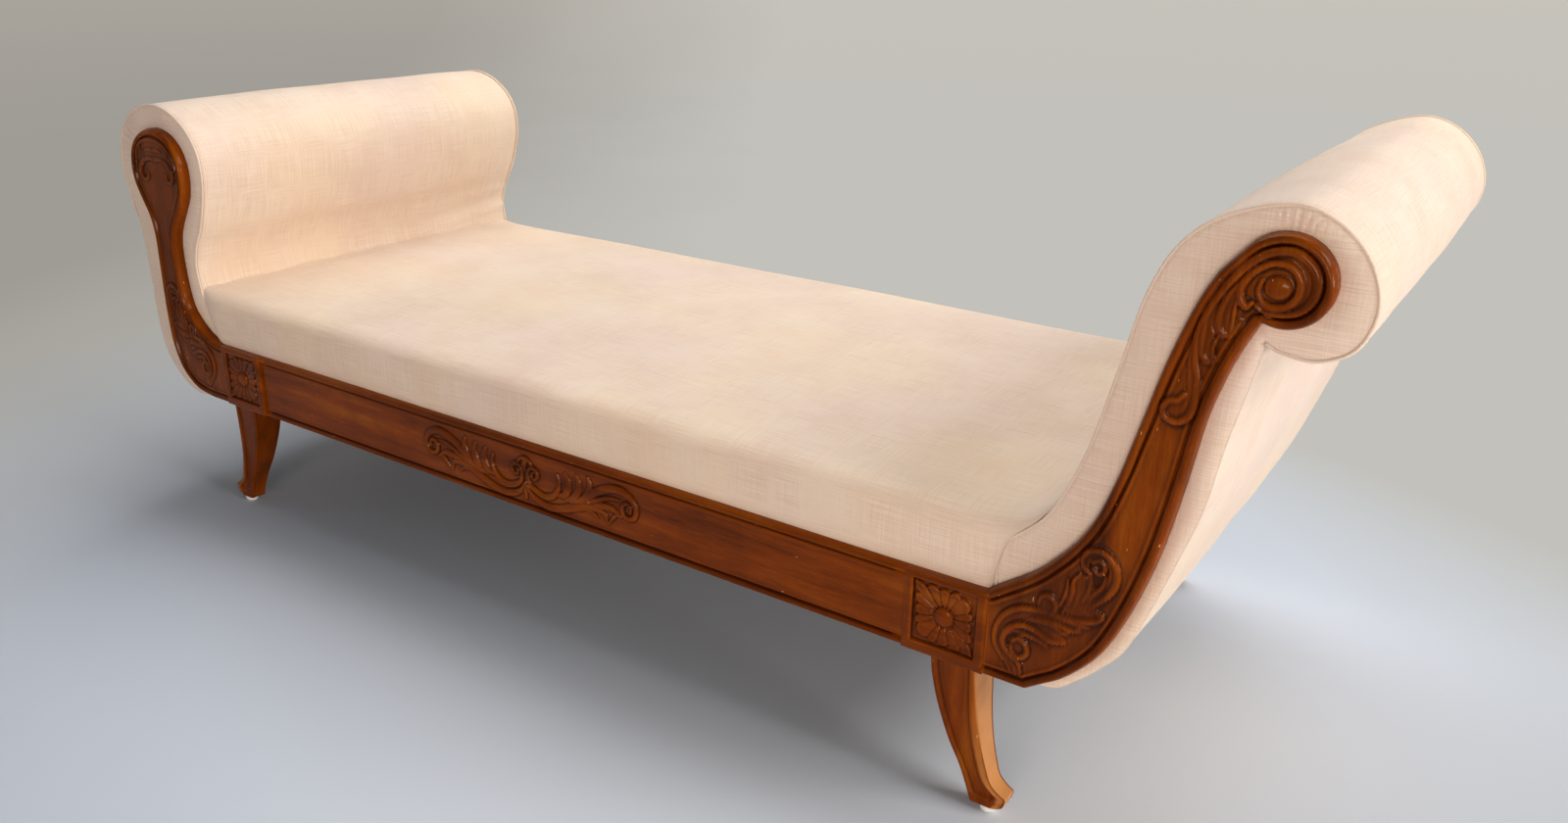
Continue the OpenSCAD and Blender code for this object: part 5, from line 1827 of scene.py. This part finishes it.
SMALL_FINISHES = {
    "frame_wood": Plain("sawn_frame_wood", "#a98255", "#d2b184", 0.75, scale=(6.0, 60.0, 60.0)),
    "webbing_cloth": Plain("jute_cloth", "#7d6544", "#b39a6d", 0.9, scale=(90.0, 90.0, 90.0), raised=0.0006),
    "dust_cloth": Plain("black_cambric", "#0d0d0d", "#1e1d1c", 0.9, scale=(120.0, 120.0, 120.0)),
    "padding": Plain("felted_wadding", "#d8d2bf", "#efeadb", 0.95),
    "glide_plastic": Plain("white_glide_plastic", "#dedbd2", "#f1efe8", 0.45),
    "fixing_steel": Plain("plated_steel", "#8e8e90", "#b4b4b6", 0.35, 1.0),
    "cover_fabric": Plain("lining_fabric", "#e3c3aa", "#f3dcc8", 0.85, scale=(80.0, 80.0, 80.0)),
    "show_wood": Plain("stained_wood", "#4a240e", "#8a4a1c", 0.4, scale=(4.0, 40.0, 40.0)),
}


def dress_nodes() -> None:
    """Gives every node of the frame its slot's finish."""
    slots = {part["node"]: part["material_slot"] for part in frame["record"]["subparts"]}
    made = {name: finish.material() for name, finish in SMALL_FINISHES.items()}
    for name, node in frame["nodes"].items():
        for holder in node.material_slots:
            holder.material = made[slots[name]]
        LOG.info("dressed %s as %s", name, slots[name])


# ---- floor glides ---------------------------------------------------------


def turned_glides(finish: bpy.types.Material) -> None:
    """The four floor glides: a profile with an eased foot turned about each one's axis.

    Args:
        finish: their material.
    """
    profile = np.array([[0, 0], [6, 0], [9, .4], [10.6, 1.6], [11.6, 3.6], [12.2, 6.0], [12.5, 9.0],
                        [12.4, GLIDE_H], [0, GLIDE_H]])
    run = np.vstack([profile[:1], curve(profile[1:-1], 4), profile[-1:]])
    a = np.linspace(0, 2 * np.pi, 41)[None, :-1]
    rings, quads, first = [], [], 0
    for place in CORNERS:
        r, z = run[:, :1], run[:, 1:]
        ring = place.world(BLOCK_OUT + GLIDE_OUT + r * np.cos(a), GLIDE_DEPTH + r * np.sin(a), z + 0 * a)
        rings.append(ring.reshape(-1, 3))
        quads.append(grid_quads(*ring.shape[:2], wrap=True) + first)
        first += len(rings[-1])
    keep(skin("turned_glides", np.vstack(rings), np.vstack(quads)), finish, "glide_plastic", "floor_glides")


# ---- room -----------------------------------------------------------------


@dataclass(frozen=True)
class Studio:
    """Seamless floor and wall, soft lamps and the camera."""

    floor: str = "#bfc5ce"
    painted_floor_light: str = "#d8dbdf"
    horizon: str = "#bebfbc"
    painted_horizon_shade: str = "#8f8e8c"
    wall: str = "#c8c3ba"
    shaded: str = "#b0aaa0"
    eye: tuple = (1.28248, -1.66435, 1.09280)
    yaw: float = -33.9007
    pitch: float = -21.3636
    roll: float = 1.0108
    lens: float = 28.459

    def sweep(self) -> None:
        """Round floor that turns up into a wall by a quarter circle: a profile turned about the couch."""
        a = np.linspace(0, np.pi / 2, 17)
        flat, radius, high = 5.6, 2.4, 5.0
        rows = np.vstack([[[0.01, 0]], [[2.5, 0]], np.stack([flat + radius * np.sin(a), radius * (1 - np.cos(a))], 1),
                          [[flat + radius, high]]])
        around = 96
        t = np.linspace(0, 2 * np.pi, around + 1)[None, :-1]
        ring = np.stack(np.broadcast_arrays(rows[:, :1] * np.cos(t), rows[:, :1] * np.sin(t), rows[:, 1:]), axis=-1)
        quads = grid_quads(*ring.shape[:2], wrap=True)[:, ::-1]
        mesh = bpy.data.meshes.new("studio_sweep")
        mesh.from_pydata(ring.reshape(-1, 3).tolist(), [], quads.tolist() + [list(range(around))])
        mesh.polygons.foreach_set("use_smooth", np.ones(len(mesh.polygons), bool))
        mesh.materials.append(self.paper())
        piece = bpy.data.objects.new("studio_sweep", mesh)
        bpy.context.scene.collection.objects.link(piece)

    def paper(self) -> bpy.types.Material:
        """Paper painted lighter near the couch's front right, and further off glowing in colours of its own, painted
        darker towards the left.

        Returns:
            The finished material.
        """
        g = Graph("studio_paper")
        behind, height = g.part(g.place(), 1), g.part(g.place(), 2)
        cloud = g.noise(g.place(), 0.7, 2)
        tone = (height * 0.8 + (cloud - 0.5) * 0.06).clamped()
        across = g.part(g.place(turn=(0, 0, math.radians(self.yaw))), 0)
        away = g.add("ShaderNodeVectorMath", {"operation": "LENGTH"}, {0: g.place((1, 1, 0))}, "Value")
        # Painted light: a lighter pool on the floor near the couch's front right.
        painted_light_pool = (across * 0.6 + 0.6).clamped() * (2.8 - away * 2.0).clamped() * (1.0 - behind * 1.8).clamped()
        ground = g.mix(painted_light_pool, shade(self.floor), shade(self.painted_floor_light))
        paper = g.add("ShaderNodeBsdfPrincipled", {}, {
            "Base Color": g.mix(tone, ground, shade(self.wall)), "Roughness": 0.95, "Specular IOR Level": 0.1})
        # Painted shade: the glowing wall and far floor turn darker towards the left.
        left = (across * -0.42 + (cloud - 0.5) * 0.35).clamped()
        low = (1.0 - height * 0.9).clamped()
        colour = g.mix(left, shade(self.wall), shade(self.shaded))
        far = g.mix(left, shade(self.horizon), shade(self.painted_horizon_shade))
        glow = g.add("ShaderNodeEmission", {}, {"Color": g.mix(low * 0.55, colour, far)})
        rays = ("Is Camera Ray", "Is Glossy Ray", "Is Transmission Ray")
        seen = sum(g.add("ShaderNodeLightPath", {}, {}, ray) for ray in rays)
        share = seen.clamped() * ((away - 1.1).clamped() + (behind * 0.8 - 0.3).clamped()).clamped()
        end = g.tree.nodes.new("ShaderNodeOutputMaterial")
        both = g.add("ShaderNodeMixShader", {}, {0: share, 1: paper, 2: glow})
        g.tree.links.new(both.socket, end.inputs[0])
        return g.material

    def lamp(self, name: str, at: tuple, towards: tuple, size: tuple, watts: float, tint: tuple = (1, 1, 1)) -> None:
        """A rectangular soft lamp.

        Args:
            name: the lamp's name.
            at: its place.
            towards: the place that it shines at.
            size: its two sides in metres.
            watts: its power.
            tint: its colour.
        """
        light = bpy.data.lights.new(name, "AREA")
        light.color = tint
        light.shape, light.size, light.size_y, light.energy = "RECTANGLE", *size, watts
        holder = bpy.data.objects.new(name, light)
        holder.location = at
        holder.rotation_euler = (Vector(towards) - Vector(at)).to_track_quat("-Z", "Y").to_euler()
        bpy.context.scene.collection.objects.link(holder)

    def lights(self) -> None:
        """A broad lamp above and behind, two from the right, a warm fill from the front and a faint world."""
        self.lamp("overhead", (-0.2, 1.3, 3.0), (0.1, -0.1, 0.3), (3.8, 2.4), 100, (0.97, 0.985, 1.0))
        self.lamp("right_high", (4.8, 0.2, 3.8), (-0.9, 0, 0.5), (2.6, 2.0), 152)
        self.lamp("right_low", (5.2, -0.8, 0.8), (0.6, 0, 0.45), (1.5, 0.9), 92)
        self.lamp("front_fill", (1.8, -4.0, 0.9), (0, 0, 0.4), (2.0, 0.8), 78, (1.0, 0.86, 0.79))
        world = bpy.data.worlds.new("studio_air")
        world.use_nodes = True
        world.node_tree.nodes["Background"].inputs["Color"].default_value = (0.80, 0.90, 1.0, 1)
        world.node_tree.nodes["Background"].inputs["Strength"].default_value = 0.14
        bpy.context.scene.world = world

    def camera(self) -> None:
        """Camera at the photograph's place, from its yaw, pitch and roll."""
        yaw, pitch, roll = (math.radians(v) for v in (self.yaw, self.pitch, self.roll))
        ahead = Vector((math.sin(yaw) * math.cos(pitch), math.cos(yaw) * math.cos(pitch), math.sin(pitch)))
        right = ahead.cross(Vector((0, 0, 1))).normalized()
        up = right.cross(ahead)
        across = right * math.cos(roll) + up * math.sin(roll)
        above = up * math.cos(roll) - right * math.sin(roll)
        data = bpy.data.cameras.new("photo_camera")
        data.lens, data.sensor_width, data.sensor_fit = self.lens, 36.0, "HORIZONTAL"
        holder = bpy.data.objects.new("photo_camera", data)
        turn = Matrix((across, above, -ahead)).transposed().to_4x4()
        holder.matrix_world = Matrix.Translation(self.eye) @ turn
        bpy.context.scene.collection.objects.link(holder)
        bpy.context.scene.camera = holder

    def make(self) -> None:
        """Sets up the room."""
        self.sweep()
        self.lights()
        self.camera()
        bpy.context.scene.view_settings.view_transform = "Standard"


def main() -> None:
    """Builds the room and the couch."""
    logging.basicConfig(level=logging.INFO, format="%(message)s")
    Studio().make()
    dress_nodes()
    wood = ShowWood(VarnishedWood("varnished_wood_x", 0).material(), VarnishedWood("varnished_wood_z", 2).material())
    cloth = Upholstery(SlubWeave().material())
    under = UnderSeat(
        PlainCloth("jute_webbing", "#8a6d45", "#b99a68", 0.0022).material(),
        PlainCloth("hessian_cloth", "#94794f", "#b79b6c", 0.0016).material(),
        PlainCloth("black_dust_cloth", "#0e0e0e", "#232221", 0.0007).material(),
    )
    for maker in (wood, cloth, under):
        maker.make()
    turned_glides(SMALL_FINISHES["glide_plastic"].material())


if __name__ == "__main__":
    main()
